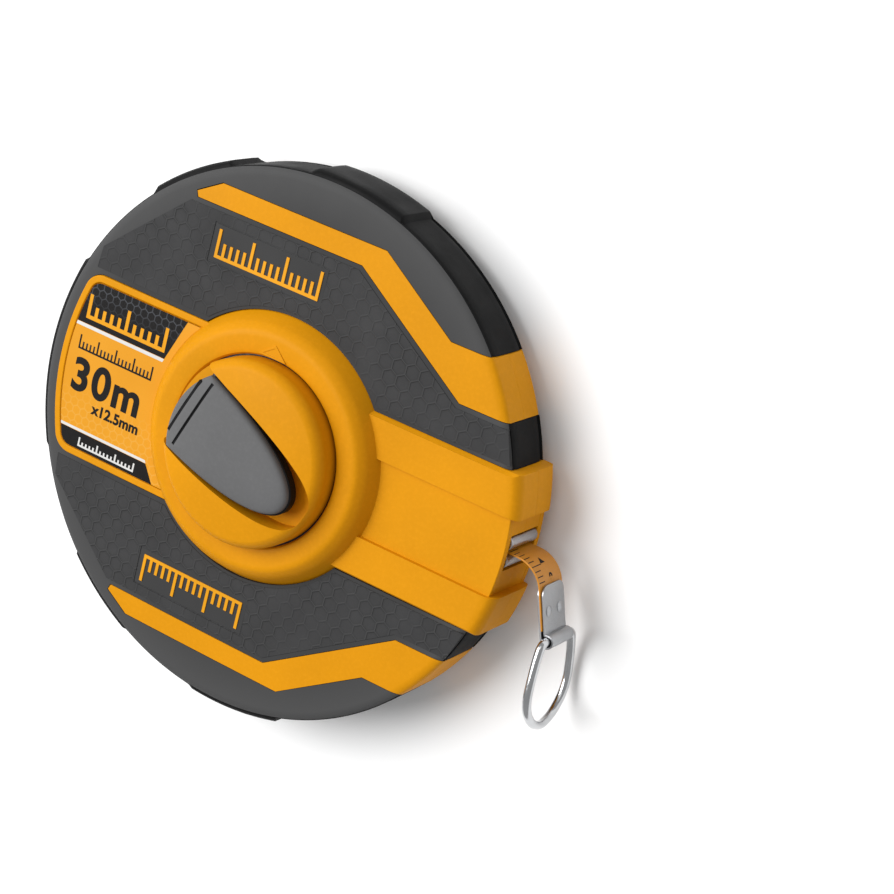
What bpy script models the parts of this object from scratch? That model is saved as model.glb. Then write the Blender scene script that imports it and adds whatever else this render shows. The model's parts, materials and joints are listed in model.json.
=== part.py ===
"""Long tape measure in a closed round case, with a geared folding crank.

Metres, +Z up. The case lies on its back: +X points out of the mouth, +Z out of the crank side,
and Z = 0 is the floor under the rear foot ring. The origin is on the reel's axis.
Heights named *_H are measured outward from the case's middle plane, on either side of it.
"""
import math

import bmesh
import bpy
from mathutils import Matrix, Vector

# ---- clearances
GAP = 0.0003            # between pieces that rest on, or are cut by, each other
RUN = 0.0004            # between pieces that turn past each other
INSET = 0.00002         # keeps joined solids from sharing a face

# ---- tape and reel
TAPE_W = 0.0125
TAPE_T = 0.00045
COIL_R = 0.0676
DRUM_R = 0.0200
DRUM_WALL = 0.0018
FLANGE_T = 0.0005
FLANGE_LIP = 0.0005
AXLE_R = 0.0030
AXLE_HEAD_R = 0.0042
AXLE_HEAD_T = 0.0008
AXLE_SCREW_LENGTH = 0.0065
AXLE_SOCKET_WALL = 0.0023
NECK_WALL = 0.0040

# ---- case
WALL = 0.0011
SKIN_T = 0.00065
RIM_WALL = 0.0016
RIM_RUBBER = 0.0015
PAD_RISE = 0.0016
POST_R = 0.0026
POST_BORE = 0.0012
POST_INTO_RIM = 0.0001   # how far a post stands into the rim wall
SCREW_HEAD_R = 0.0018
SCREW_ANGLES = (55, 95, 150, 210, 265, 305)
PADS = ((73, 94.5), (115, 134), (158.5, 201.5), (226, 245), (265.5, 287))

# ---- hub boss, front and rear
BOSS_SPREAD = 0.0082        # foot, top edge and hole of the boss, from its bore
BOSS_TOP_SPREAD = 0.0041
BOSS_LIP = 0.0032
BOSS_EDGE = 0.0008
BOSS_SHOULDER = 0.0013
OVER_GEARS = 0.0026         # the front boss's height beyond the gears' thickness
REAR_BOSS = 0.0045
BOSS_TOP_WALL = 0.0017
FOOT_WALL = 0.0020
FOOT_GROOVE = 0.0006

# ---- band, rails and mouth
RAIL_IN = 0.0114
RAIL_OUT = 0.0222
RAIL_RISE = 0.0012
RAIL_REACH = 0.0030
LIP_REACH = 0.0010
TAPE_Y = 0.0010
ROLLER_R = 0.0020
ROLLER_INSET = 0.0006
ROLLER_PIN_R = 0.0007
PIN_COVER = 0.0007          # wall left over each end of a roller's pin
WINDOW_LOW = -0.0046
WINDOW_HIGH = 0.0066

# ---- stripes, as shares of the case's radius, and label on the face
STRIPE_LOW_SHARE = 0.4494
STRIPE_HIGH_SHARE = 0.6377
STRIPE_TOP_SHARES = ((0.6104, 0.6377), (0.2870, 0.8468), (-0.4156, 0.8468), (-0.5156, 0.7870))
STRIPE_BOTTOM_SHARES = ((-0.5065, 0.7662), (0.2078, 0.7662), (0.7000, 0.4494))
LABEL_INSET = 0.0044
LABEL_HALF = 0.0270
LABEL_RISE = 0.0005
LABEL_BORDER = 0.0017
LABEL_T = 0.0004
CORNER_R = 0.0060

# ---- crank
CAP_RISE = 0.0087
CRANK_TURN = math.radians(-21.3)
LEAF_HALF = 0.0132
LEAF_INSET = 0.0047         # from the leaf's nose to the cap's edge
LEAF_TAIL = 0.0041
LEAF_TOP = 0.0032
LEAF_UNDER = 0.0024
LEAF_ROUND = 0.0013
LEAF_FULLNESS = 0.88        # how square the leaf's sides are: 1 is an ellipse
HINGE_INSET = 0.0077
HINGE_BELOW_TOP = 0.0032
HINGE_PIN_R = 0.0011
HINGE_IN_CAP = 0.0020
GROOVE_W = 0.0008
GROOVE_DEEP = 0.0006
GROOVES = ((-0.0014, 0.0090), (0.0022, 0.0110))
POCKET_NOSE = 0.0030
POCKET_SIDE = 0.0005
POCKET_FULLNESS = 0.62
CARRIER_T = 0.0013
CAP_SCREW_R = 0.0010
CAP_SCREW_HEAD_R = 0.0020
CAP_SCREW_HEAD_T = 0.0007
CAP_SCREW_GRIP = 0.0011

# ---- planetary gears: crank carrier in, sun and reel out, ring fixed, 3 to 1
MODULE = 0.0010
SUN_TEETH = 24
PLANET_TEETH = 12
RING_TEETH = SUN_TEETH + 2 * PLANET_TEETH
GEAR_T = 0.0034
TOOTH_W = 1.15 * MODULE
ADDENDUM = 0.8 * MODULE
DEDENDUM = 1.1 * MODULE
PRESSURE_ANGLE = math.radians(20)
RING_GEAR_WALL = 0.0044
PLANET_ANGLES = (90, 210, 330)
PLANET_PIN_R = 0.0014
PIN_HEAD_R = 0.0024
PIN_HEAD_T = 0.0005

# ---- tape lead, clip and D-ring
LEAD_TAIL = 0.0070
CURL_START = 0.0040
CURL_R = 0.0090
CURL_TURN = math.radians(69.6)
LEAD_END = 0.0110
CLIP_T = 0.0005
CLIP_START = 0.0008
BARREL_AT = 0.0139
WIRE_R = 0.0012
RING_DROP = 0.0249
RING_SPREAD = 0.00485       # the ring's half width beyond half the tape's width
RING_SIDE_SHARES = ((0.4418, -0.0001), (0.5823, 0), (0.7229, -0.00095), (0.8394, -0.0030),
                    (0.9438, -0.0063))
RING_LEAN = math.radians(6.0)
RIVET_AT = 0.0062
RIVET_SPREAD = 0.0030
RIVET_R = 0.0008
RIVET_HEAD_R = 0.0015
RIVET_HEAD_T = 0.0005

# ---- worked out from the sizes above
HALF_TAPE = TAPE_W / 2
FLANGE_R = COIL_R + FLANGE_LIP
POST_AT = FLANGE_R + RUN + POST_R
CHAMBER_R = POST_AT + POST_R - POST_INTO_RIM
SHELL_R = CHAMBER_R + RIM_WALL
CASE_R = SHELL_R + GAP + RIM_RUBBER
RING_PITCH_R = MODULE * RING_TEETH / 2
BOSS_BORE_R = RING_PITCH_R + DEDENDUM + RING_GEAR_WALL + GAP
BOSS_HOLE_R = BOSS_BORE_R - BOSS_LIP
BOSS_TOP_R = BOSS_BORE_R + BOSS_TOP_SPREAD
BOSS_R = BOSS_BORE_R + BOSS_SPREAD
FRONT_BOSS = GEAR_T + OVER_GEARS
NECK_R = AXLE_R + NECK_WALL
CAP_R = BOSS_HOLE_R - RUN
HINGE_U = HINGE_INSET - CAP_R
LEAF_LENGTH = CAP_R - HINGE_U - LEAF_INSET
HINGE_REACH = LEAF_HALF + HINGE_IN_CAP
POCKET_FLOOR = math.hypot(LEAF_TAIL, LEAF_TOP) + GAP
ROLLER_X = CASE_R - ROLLER_INSET
LABEL_R = CASE_R - LABEL_INSET
STRIPE_LOW = CASE_R * STRIPE_LOW_SHARE
STRIPE_HIGH = CASE_R * STRIPE_HIGH_SHARE
STRIPE_TOP = [(CASE_R * x, CASE_R * y) for x, y in STRIPE_TOP_SHARES]
STRIPE_BOTTOM = [(CASE_R * x, CASE_R * y) for x, y in STRIPE_BOTTOM_SHARES]
FLANGE_H = HALF_TAPE + GAP
INNER_H = FLANGE_H + FLANGE_T + GAP
PLATE_H = INNER_H + WALL
SKIN_H = PLATE_H + GAP
FACE_H = SKIN_H + SKIN_T
SPLIT_H = GAP / 2
REAR_H = FACE_H + REAR_BOSS
MID_Z = REAR_H
FRONT_TOP_H = FACE_H + FRONT_BOSS
RING_TOP_Z = MID_Z + FRONT_TOP_H
CAP_TOP_Z = RING_TOP_Z + CAP_RISE
HINGE_Z = CAP_TOP_Z - HINGE_BELOW_TOP
FLOOR_Z = HINGE_Z - POCKET_FLOOR
CARRIER_TOP_Z = RING_TOP_Z - BOSS_TOP_WALL - RUN
CARRIER_Z = CARRIER_TOP_Z - CARRIER_T
GEAR_TOP_Z = CARRIER_Z - RUN
GEAR_Z = GEAR_TOP_Z - GEAR_T
CAP_Z = CARRIER_TOP_Z + GAP
ORBIT_R = MODULE * (SUN_TEETH + PLANET_TEETH) / 2
ROLLER_RISE = TAPE_T / 2 + GAP + ROLLER_R
SCREW_SEAT_H = PLATE_H - WALL - GAP
PLATE_OFF = TAPE_T / 2 + GAP + CLIP_T / 2
BARREL_R = WIRE_R + RUN + CLIP_T / 2
RING_HALF = HALF_TAPE + RING_SPREAD
BARREL_OUT = BARREL_R - PLATE_OFF
LEAD_BACK_X = ROLLER_X - LEAD_TAIL
CURL_X = ROLLER_X + CURL_START

ORANGE = ("orange_abs", (0.87, 0.33, 0.010), 0.42, 0.0)
GREY = ("grey_rubber", (0.085, 0.085, 0.088), 0.62, 0.0)
BLACK = ("black_rubber", (0.022, 0.022, 0.023), 0.60, 0.0)
HANDLE = ("handle_grey", (0.17, 0.17, 0.175), 0.48, 0.0)
PAPER = ("label_print", (0.90, 0.42, 0.03), 0.35, 0.0)
TAPE = ("tape_orange", (0.80, 0.30, 0.012), 0.45, 0.0)
STEEL = ("bright_steel", (0.62, 0.62, 0.63), 0.25, 1.0)
CHROME = ("chrome", (0.78, 0.78, 0.80), 0.12, 1.0)
NYLON = ("white_nylon", (0.72, 0.71, 0.67), 0.50, 0.0)

PARTS = None
CUTTERS = None
MATERIALS = {}


# ---------------------------------------------------------------- scene helpers
def clear_scene():
    for old in list(bpy.data.objects):
        bpy.data.objects.remove(old, do_unlink=True)


def make_collection(name, hidden):
    made = bpy.data.collections.new(name)
    bpy.context.scene.collection.children.link(made)
    made.hide_render = hidden
    return made


def material(spec):
    name, colour, roughness, metallic = spec
    if name not in MATERIALS:
        made = bpy.data.materials.new(name)
        made.use_nodes = True
        shader = made.node_tree.nodes["Principled BSDF"]
        shader.inputs["Base Color"].default_value = (*colour, 1.0)
        shader.inputs["Roughness"].default_value = roughness
        shader.inputs["Metallic"].default_value = metallic
        MATERIALS[name] = made
    return MATERIALS[name]


def place(obj, name, spec):
    """Name an object, and keep it as a part, or as a cutter when it has no material."""
    obj.name = name
    for owner in list(obj.users_collection):
        owner.objects.unlink(obj)
    if spec is None:
        CUTTERS.objects.link(obj)
        obj.hide_render = True
        obj.display_type = "WIRE"
        return obj
    PARTS.objects.link(obj)
    obj.data.materials.clear()
    obj.data.materials.append(material(spec))
    return obj


def boolean(obj, tool, operation):
    step = obj.modifiers.new(operation.lower(), "BOOLEAN")
    step.solver = "EXACT"
    step.operation = operation
    step.object = tool
    return obj


def cut(obj, *tools):
    for tool in tools:
        boolean(obj, tool, "DIFFERENCE")
    return obj


def add(obj, *tools):
    for tool in tools:
        boolean(obj, tool, "UNION")
    return obj


def bevel(obj, width, segments, angle=math.radians(40)):
    step = obj.modifiers.new("bevel", "BEVEL")
    step.width = width
    step.segments = segments
    step.limit_method = "ANGLE"
    step.angle_limit = angle
    return obj


# ---------------------------------------------------------------- solid helpers
def turned(name, profile, spec, steps=48, closed=True, location=(0, 0, 0)):
    """Turn a profile of (radius, z), which runs down its outer side, about Z."""
    mesh = bpy.data.meshes.new(name)
    edges = [(i, i + 1) for i in range(len(profile) - 1)]
    if closed:
        edges.append((len(profile) - 1, 0))
    mesh.from_pydata([(r, 0, z) for r, z in profile], edges, [])
    obj = bpy.data.objects.new(name, mesh)
    obj.location = location
    screw = obj.modifiers.new("turn", "SCREW")
    screw.axis = "Z"
    screw.angle = math.tau
    screw.steps = steps
    screw.render_steps = steps
    screw.use_merge_vertices = True
    screw.merge_threshold = 0.00001
    return place(obj, name, spec)


def tube(name, inner, outer, z0, z1, spec, steps=32, location=(0, 0, 0)):
    profile = [(inner, z1), (outer, z1), (outer, z0), (inner, z0)]
    return turned(name, profile, spec, steps, location=location)


def rod(name, radius, z0, z1, spec, sides=24, at=(0, 0)):
    bpy.ops.mesh.primitive_cylinder_add(vertices=sides, radius=radius, depth=z1 - z0,
                                        location=(at[0], at[1], (z0 + z1) / 2))
    return place(bpy.context.object, name, spec)


def box(name, low, high, spec=None):
    bpy.ops.mesh.primitive_cube_add(size=1)
    obj = bpy.context.object
    obj.location = [(a + b) / 2 for a, b in zip(low, high)]
    obj.scale = [b - a for a, b in zip(low, high)]
    return place(obj, name, spec)


def outline_solid(name, loops, z0, z1, spec, location=(0, 0, 0), turn=0.0):
    """Extrude closed outlines from z0 to z1; a loop inside another is a hole."""
    curve = bpy.data.curves.new(name, "CURVE")
    curve.dimensions = "2D"
    curve.fill_mode = "BOTH"
    curve.extrude = (z1 - z0) / 2
    for loop in loops:
        spline = curve.splines.new("POLY")
        spline.points.add(len(loop) - 1)
        for point, (x, y) in zip(spline.points, loop):
            point.co = (x, y, 0, 1)
        spline.use_cyclic_u = True
    flat = bpy.data.objects.new(name, curve)
    CUTTERS.objects.link(flat)
    view = bpy.context.evaluated_depsgraph_get()
    mesh = bpy.data.meshes.new_from_object(flat.evaluated_get(view))
    bpy.data.objects.remove(flat)
    bpy.data.curves.remove(curve)
    shape = bmesh.new()
    shape.from_mesh(mesh)
    bmesh.ops.remove_doubles(shape, verts=shape.verts, dist=0.000001)
    bmesh.ops.translate(shape, verts=shape.verts, vec=(0, 0, (z0 + z1) / 2))
    bmesh.ops.recalc_face_normals(shape, faces=shape.faces)
    shape.to_mesh(mesh)
    shape.free()
    obj = bpy.data.objects.new(name, mesh)
    obj.location = location
    obj.rotation_euler[2] = turn
    return place(obj, name, spec)


def joined(name, objects):
    """Make one cutter of several that stay apart."""
    shape = bmesh.new()
    view = bpy.context.evaluated_depsgraph_get()
    for obj in objects:
        mesh = bpy.data.meshes.new_from_object(obj.evaluated_get(view))
        mesh.transform(obj.matrix_basis)
        shape.from_mesh(mesh)
        bpy.data.objects.remove(obj)
    mesh = bpy.data.meshes.new(name)
    shape.to_mesh(mesh)
    shape.free()
    return place(bpy.data.objects.new(name, mesh), name, None)


# ---------------------------------------------------------------- outlines
def arc(radius, start, end, count, centre=(0, 0)):
    """Points on an arc, angles in degrees, both ends included."""
    points = []
    for i in range(count + 1):
        angle = math.radians(start + (end - start) * i / count)
        points.append((centre[0] + radius * math.cos(angle), centre[1] + radius * math.sin(angle)))
    return points


def circle(radius, count=48, centre=(0, 0)):
    return arc(radius, 0, 360 * (count - 1) / count, count - 1, centre)


def rise_angle(y, radius):
    return math.degrees(math.asin(y / radius))


def rim_sector(inner, outer, low, high):
    """The piece of a rim between two lines of constant y, on the mouth side."""
    out = arc(outer, rise_angle(low, outer), rise_angle(high, outer), 5)
    back = arc(inner, rise_angle(high, inner), rise_angle(low, inner), 3)
    return out + back


def strip_to_rim(start_x, low, high, reach):
    """A band that runs from start_x to an arc about the axis."""
    return [(start_x, low)] + arc(reach, rise_angle(low, reach), rise_angle(high, reach), 6) \
        + [(start_x, high)]


def mirrored_y(points):
    return [(x, -y) for x, y in reversed(points)]


def case_loop(base, start, end):
    """The case's edge with its pads, from one angle to another, as (x, y) points."""
    ramp = 0.8
    marks = [(start, base), (end, base)]
    for low, high in PADS:
        for angle, rise in ((low - ramp, 0), (low, PAD_RISE), (high, PAD_RISE), (high + ramp, 0)):
            marks.append((angle, base + rise))
    angle = start
    while angle < end:
        angle += 5
        near = any(abs(angle - mark) < 2 for mark, _ in marks)
        if start < angle < end and not near:
            inside = any(low <= angle <= high for low, high in PADS)
            marks.append((angle, base + (PAD_RISE if inside else 0)))
    marks.sort()
    return [(r * math.cos(math.radians(a)), r * math.sin(math.radians(a))) for a, r in marks]


def stripe_outline(grow):
    """The upper stripe on the face; grow widens it, for the opening that clears it."""
    rim = CASE_R + grow * 12
    low = STRIPE_LOW - grow
    high = STRIPE_HIGH + grow
    edge = arc(rim, rise_angle(low, rim), rise_angle(high, rim), 4)
    top = [(x - grow * (0.4 if x > 0 else 1.5), y + grow) for x, y in STRIPE_TOP]
    top[0] = (STRIPE_TOP[0][0] + grow * 0.3, high)
    top[1] = (STRIPE_TOP[1][0] + grow * 0.3, STRIPE_TOP[1][1] + grow)
    bottom = [(STRIPE_BOTTOM[0][0] - grow * 1.5, STRIPE_BOTTOM[0][1] - grow),
              (STRIPE_BOTTOM[1][0] - grow * 0.3, STRIPE_BOTTOM[1][1] - grow),
              (STRIPE_BOTTOM[2][0] - grow * 0.3, low)]
    return edge + top + bottom


def label_outline(shrink):
    """The label's frame, or with shrink its recess; the hub side follows the boss."""
    radius = LABEL_R - shrink
    half = LABEL_HALF - shrink
    corner = CORNER_R - shrink
    tip = math.degrees(math.asin((half - corner) / (radius - corner)))
    centre_x = -(radius - corner) * math.cos(math.radians(tip))
    centre_y = half - corner
    corner_arc = arc(corner, 90, 180 - tip, 4, (centre_x, centre_y))
    side = arc(radius, 180 - tip, 180 + tip, 8)[1:-1]
    upper_left = corner_arc + side
    lower_left = [(x, -y) for x, y in reversed(corner_arc)]
    hub_r = BOSS_R + shrink if shrink else BOSS_R - 0.003
    reach = rise_angle(half, hub_r)
    hub_side = arc(hub_r, 180 + reach, 180 - reach, 8)
    return upper_left + lower_left + hub_side


def leaf_outline(half, length, fullness, tail):
    """The crank handle's leaf about its hinge at u = 0: a square tail and a rounded nose."""
    upper = []
    for i in range(15):
        angle = math.radians(90 * i / 14)
        width = half * max(math.cos(angle), 0) ** fullness
        upper.append((length * math.sin(angle), width))
    nose = [(u, -v) for u, v in reversed(upper[:-1])]
    return upper + nose + tail


def gear_loop(teeth, direction, width, phase):
    """A gear's outline; direction is 1 for outward teeth and -1 for inward teeth."""
    pitch_r = MODULE * teeth / 2
    slope = math.tan(PRESSURE_ANGLE)
    tip_r = pitch_r + direction * ADDENDUM
    root_r = pitch_r - direction * DEDENDUM
    tip = (width / 2 - ADDENDUM * slope) / tip_r
    root = (width / 2 + DEDENDUM * slope) / root_r
    points = []
    for i in range(teeth):
        middle = phase + math.tau * i / teeth
        for radius, offset in ((root_r, -root), (tip_r, -tip), (tip_r, tip), (root_r, root)):
            points.append((radius * math.cos(middle + offset), radius * math.sin(middle + offset)))
    return points


# ---------------------------------------------------------------- case
def side_z(side, height):
    return MID_Z + side * height


def slab(name, loops, side, low, high, spec=None):
    """An outline between two heights outward from the middle plane, on one side of it."""
    z0, z1 = sorted((side_z(side, low), side_z(side, high)))
    return outline_solid(name, loops, z0, z1, spec)


def shell_profile(side):
    """The turned body of a shell, as (radius, height) down its outer side."""
    below = -SPLIT_H
    if side > 0:
        top = FRONT_TOP_H
        under = top - BOSS_TOP_WALL
        crown = [(BOSS_HOLE_R, top - GAP), (BOSS_HOLE_R + 0.0012, top),
                 (BOSS_TOP_R - BOSS_EDGE - BOSS_SHOULDER, top),
                 (BOSS_TOP_R - BOSS_EDGE, top - BOSS_EDGE / 2), (BOSS_TOP_R, top - BOSS_SHOULDER)]
        inside = [(BOSS_BORE_R, INNER_H), (BOSS_BORE_R, under), (BOSS_HOLE_R, under)]
    else:
        top = REAR_H
        floor = top - FOOT_WALL
        crown = [(0, top), (BOSS_HOLE_R - FOOT_GROOVE, top), (BOSS_HOLE_R, top - FOOT_GROOVE),
                 (BOSS_HOLE_R + FOOT_GROOVE, top), (BOSS_TOP_R - FOOT_GROOVE - GAP, top),
                 (BOSS_TOP_R, top - FOOT_GROOVE)]
        socket = AXLE_R + GAP
        outer = socket + AXLE_SOCKET_WALL
        inside = [(BOSS_BORE_R, INNER_H), (BOSS_BORE_R, floor), (outer, floor),
                  (outer, INNER_H + GAP), (socket, INNER_H + GAP), (socket, floor), (0, floor)]
    wall = [(BOSS_R, FACE_H), (BOSS_R + GAP, PLATE_H), (SHELL_R - RIM_WALL / 2, PLATE_H),
            (SHELL_R, PLATE_H - RIM_WALL / 2), (SHELL_R, below), (CHAMBER_R, below),
            (CHAMBER_R, INNER_H)]
    return crown + wall + inside


def shell_additions(side, tag):
    """Band, rails, stripes and screw posts that grow out of a shell."""
    below = 0.0
    seat = PLATE_H - WALL / 2
    rail_r = CASE_R + RAIL_REACH
    rail_h = FACE_H + RAIL_RISE
    root = SHELL_R - RIM_WALL / 2
    rail = strip_to_rim(BOSS_BORE_R + 0.0006, RAIL_IN, RAIL_OUT, rail_r)
    rail_end = rim_sector(root, rail_r - INSET, RAIL_IN + INSET, RAIL_OUT - INSET)
    stripe_end = rim_sector(root, CASE_R - INSET, STRIPE_LOW + INSET, STRIPE_HIGH - INSET)
    panel = strip_to_rim(BOSS_BORE_R + 0.0006, -RAIL_IN - GAP, RAIL_IN + GAP, CASE_R + LIP_REACH)
    tools = [slab(f"{tag}_panel", [panel], side, INNER_H + 0.00005, FACE_H)]
    for label, loop, low, high in (("rail", rail, seat, rail_h), ("rail_end", rail_end, below, PLATE_H),
                                   ("stripe", stripe_outline(0), seat, FACE_H),
                                   ("stripe_end", stripe_end, below, PLATE_H + INSET)):
        pair = [slab(f"{tag}_{label}_{i}", [half], side, low, high)
                for i, half in enumerate((loop, mirrored_y(loop)))]
        tools.append(joined(f"{tag}_{label}s", pair))
    posts = [slab(f"{tag}_post_{a}", [circle(POST_R, 10, screw_place(a))], side, below, seat)
             for a in SCREW_ANGLES]
    tools.append(joined(f"{tag}_posts", posts))
    return tools


def screw_place(angle):
    return (POST_AT * math.cos(math.radians(angle)), POST_AT * math.sin(math.radians(angle)))


def shell_cuts(side, tag):
    """The tape window, roller sockets, screw bores and the flat split face."""
    low, high = sorted((side_z(side, -0.005), side_z(side, SPLIT_H)))
    big = CASE_R * 1.3
    tools = [box(f"{tag}_split", (-big, -big, low), (big, big, high))]
    z0, z1 = sorted((side_z(side, -0.002), side_z(side, INNER_H)))
    tools.append(box(f"{tag}_window", (CHAMBER_R - 0.004, WINDOW_LOW, z0), (big, WINDOW_HIGH, z1)))
    socket = ROLLER_PIN_R + GAP
    depth = FACE_H - PIN_COVER
    pins = [slab(f"{tag}_socket_{i}", [circle(socket, 10, (ROLLER_X, y))], side, INNER_H - 0.002, depth)
            for i, y in enumerate(roller_rows())]
    tools.append(joined(f"{tag}_sockets", pins))
    end = PLATE_H + 0.002 if side < 0 else PLATE_H - 0.0020
    bores = [slab(f"{tag}_bore_{a}", [circle(POST_BORE, 8, screw_place(a))], side, -0.004, end)
             for a in SCREW_ANGLES]
    tools.append(joined(f"{tag}_bores", bores))
    return tools


def roller_rows():
    return (TAPE_Y + ROLLER_RISE, TAPE_Y - ROLLER_RISE)


def front_shell():
    profile = [(r, side_z(1, h)) for r, h in shell_profile(1)]
    shell = turned("front_shell", profile, ORANGE, 48)
    add(shell, *shell_additions(1, "front"))
    frame = slab("front_label_frame", [label_outline(0)], 1, PLATE_H - WALL / 2, FACE_H + LABEL_RISE)
    add(shell, frame)
    recess = FACE_H + LABEL_RISE - LABEL_T - GAP
    cut(shell, slab("front_label_recess", [label_outline(LABEL_BORDER)], 1, recess, FACE_H + 0.01))
    cut(shell, *shell_cuts(1, "front"))
    return shell


def rear_shell():
    profile = [(r, side_z(-1, h)) for r, h in reversed(shell_profile(-1))]
    shell = turned("rear_shell", profile, ORANGE, 48, closed=False)
    add(shell, *shell_additions(-1, "rear"))
    heads = [slab(f"rear_head_{a}", [circle(SCREW_HEAD_R + GAP, 10, screw_place(a))], -1,
                  SCREW_SEAT_H, PLATE_H + 0.01) for a in SCREW_ANGLES]
    cut(shell, *shell_cuts(-1, "rear"), joined("rear_heads", heads))
    return shell


def skin(name, side, tag):
    """A rubber face panel with openings for everything that stands through it."""
    outer = case_loop(CASE_R - 0.0006, 0, 355)
    sheet = slab(name, [outer, circle(BOSS_R + 2 * GAP)], side, SKIN_H, FACE_H, GREY)
    low, high = SKIN_H - 0.001, FACE_H + 0.001
    far = CASE_R * 1.3
    wide = RAIL_OUT + GAP
    band = [(0, -wide), (far, -wide), (far, wide), (0, wide)]
    cut(sheet, slab(f"{tag}_band_opening", [band], side, low, high))
    stripe = stripe_outline(GAP)
    pair = [slab(f"{tag}_stripe_opening_{i}", [half], side, low, high)
            for i, half in enumerate((stripe, mirrored_y(stripe)))]
    cut(sheet, joined(f"{tag}_stripe_openings", pair))
    if side > 0:
        cut(sheet, slab("label_opening", [label_outline(-GAP)], side, low, high))
    else:
        heads = [slab(f"rear_skin_hole_{a}", [circle(SCREW_HEAD_R + 2 * GAP, 10, screw_place(a))],
                      side, low, high) for a in SCREW_ANGLES]
        cut(sheet, joined("rear_skin_holes", heads))
    return sheet


def bumpers():
    """The rim's rubber: a long arc with its pads, and a short arc each side of the mouth."""
    inner = CASE_R - RIM_RUBBER
    height = SKIN_H - GAP
    z0, z1 = MID_Z - height, MID_Z + height
    edge = STRIPE_HIGH + GAP
    out_a = rise_angle(edge, CASE_R)
    in_a = rise_angle(edge, inner)
    loop = case_loop(CASE_R, out_a, 360 - out_a) + arc(inner, 360 - in_a, in_a, 56)
    outline_solid("rim_bumper", [loop], z0, z1, BLACK)
    short = rim_sector(inner, CASE_R, RAIL_OUT + GAP, STRIPE_LOW - GAP)
    outline_solid("upper_bumper", [short], z0, z1, BLACK)
    outline_solid("lower_bumper", [mirrored_y(short)], z0, z1, BLACK)


def label():
    low = FACE_H + LABEL_RISE - LABEL_T
    slab("label", [label_outline(LABEL_BORDER + GAP)], 1, low, FACE_H + LABEL_RISE, PAPER)


def case_screws():
    for number, angle in enumerate(SCREW_ANGLES, 1):
        x, y = screw_place(angle)
        seat = side_z(-1, SCREW_SEAT_H + GAP)
        head = side_z(-1, PLATE_H + GAP)
        tip = side_z(1, PLATE_H - 0.0028)
        shank = POST_BORE - GAP
        profile = [(0, tip), (shank, tip), (shank, seat), (SCREW_HEAD_R, seat),
                   (SCREW_HEAD_R, head), (0, head)]
        turned(f"case_screw_{number}", profile, STEEL, 12, closed=False, location=(x, y, 0))


# ---------------------------------------------------------------- mouth rollers
def rollers():
    for word, y in zip(("upper", "lower"), roller_rows()):
        place_at = (ROLLER_X, y, MID_Z)
        reach = INNER_H - RUN
        tube(f"{word}_roller", ROLLER_PIN_R + GAP, ROLLER_R, -reach, reach, STEEL, 20, place_at)
        pin = FACE_H - PIN_COVER - GAP
        rod(f"{word}_roller_pin", ROLLER_PIN_R, MID_Z - pin, MID_Z + pin, STEEL, 12, (ROLLER_X, y))


# ---------------------------------------------------------------- reel and axle
def axle_and_screw():
    """The axle stands in the rear shell's socket; its screw keeps the crank down."""
    foot = side_z(-1, REAR_H - FOOT_WALL - GAP)
    top = CARRIER_TOP_Z
    bore = POST_BORE + GAP
    deep = top - AXLE_SCREW_LENGTH - 0.001
    profile = [(0, deep), (bore, deep), (bore, top), (AXLE_R, top), (AXLE_R, foot), (0, foot)]
    turned("centre_axle", profile, STEEL, 24, closed=False)
    seat = top + GAP
    head = seat + AXLE_HEAD_T
    tip = top - AXLE_SCREW_LENGTH
    profile = [(0, head), (AXLE_HEAD_R, head), (AXLE_HEAD_R, seat), (POST_BORE, seat),
               (POST_BORE, tip), (0, tip)]
    turned("axle_screw", profile, STEEL, 20, closed=False)


def reel():
    bore = AXLE_R + GAP
    low, high = MID_Z - HALF_TAPE, MID_Z + HALF_TAPE
    rim = DRUM_R - DRUM_WALL
    web = DRUM_WALL / 2
    neck_top = GEAR_TOP_Z - GAP
    foot = low - FLANGE_T
    profile = [(bore, neck_top), (NECK_R, neck_top), (NECK_R, MID_Z + web), (rim, MID_Z + web),
               (rim, high), (DRUM_R, high), (DRUM_R, low), (rim, low), (rim, MID_Z - web),
               (NECK_R, MID_Z - web), (NECK_R, foot), (bore, foot)]
    turned("reel_drum", profile, NYLON, 32)
    hole = NECK_R + GAP
    front = high + GAP
    tube("front_flange", hole, FLANGE_R, front, front + FLANGE_T, NYLON, 44)
    rear = low - GAP
    tube("rear_flange", hole, FLANGE_R, rear - FLANGE_T, rear, NYLON, 44)
    tube("tape_coil", DRUM_R + GAP, COIL_R, low, high, TAPE, 44)


# ---------------------------------------------------------------- gear train
def gears():
    sun = [gear_loop(SUN_TEETH, 1, TOOTH_W, 0), circle(NECK_R + GAP, 24)]
    outline_solid("sun_gear", sun, GEAR_Z, GEAR_TOP_Z, NYLON)
    ring = [circle(BOSS_BORE_R - GAP, 48), gear_loop(RING_TEETH, -1, TOOTH_W, 0)]
    outline_solid("ring_gear", ring, GEAR_Z, GEAR_TOP_Z, NYLON)
    for number, angle in enumerate(PLANET_ANGLES, 1):
        a = math.radians(angle)
        centre = (ORBIT_R * math.cos(a), ORBIT_R * math.sin(a))
        half_pitch = math.pi / PLANET_TEETH
        loops = [gear_loop(PLANET_TEETH, 1, TOOTH_W, a + half_pitch), circle(PLANET_PIN_R + GAP, 14)]
        outline_solid(f"planet_gear_{number}", loops, GEAR_Z, GEAR_TOP_Z, NYLON, (*centre, 0))
        head_top = GEAR_Z - GAP
        head = head_top - PIN_HEAD_T
        profile = [(0, CARRIER_TOP_Z), (PLANET_PIN_R, CARRIER_TOP_Z), (PLANET_PIN_R, head_top),
                   (PIN_HEAD_R, head_top), (PIN_HEAD_R, head), (0, head)]
        turned(f"planet_pin_{number}", profile, STEEL, 14, closed=False, location=(*centre, 0))


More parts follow.
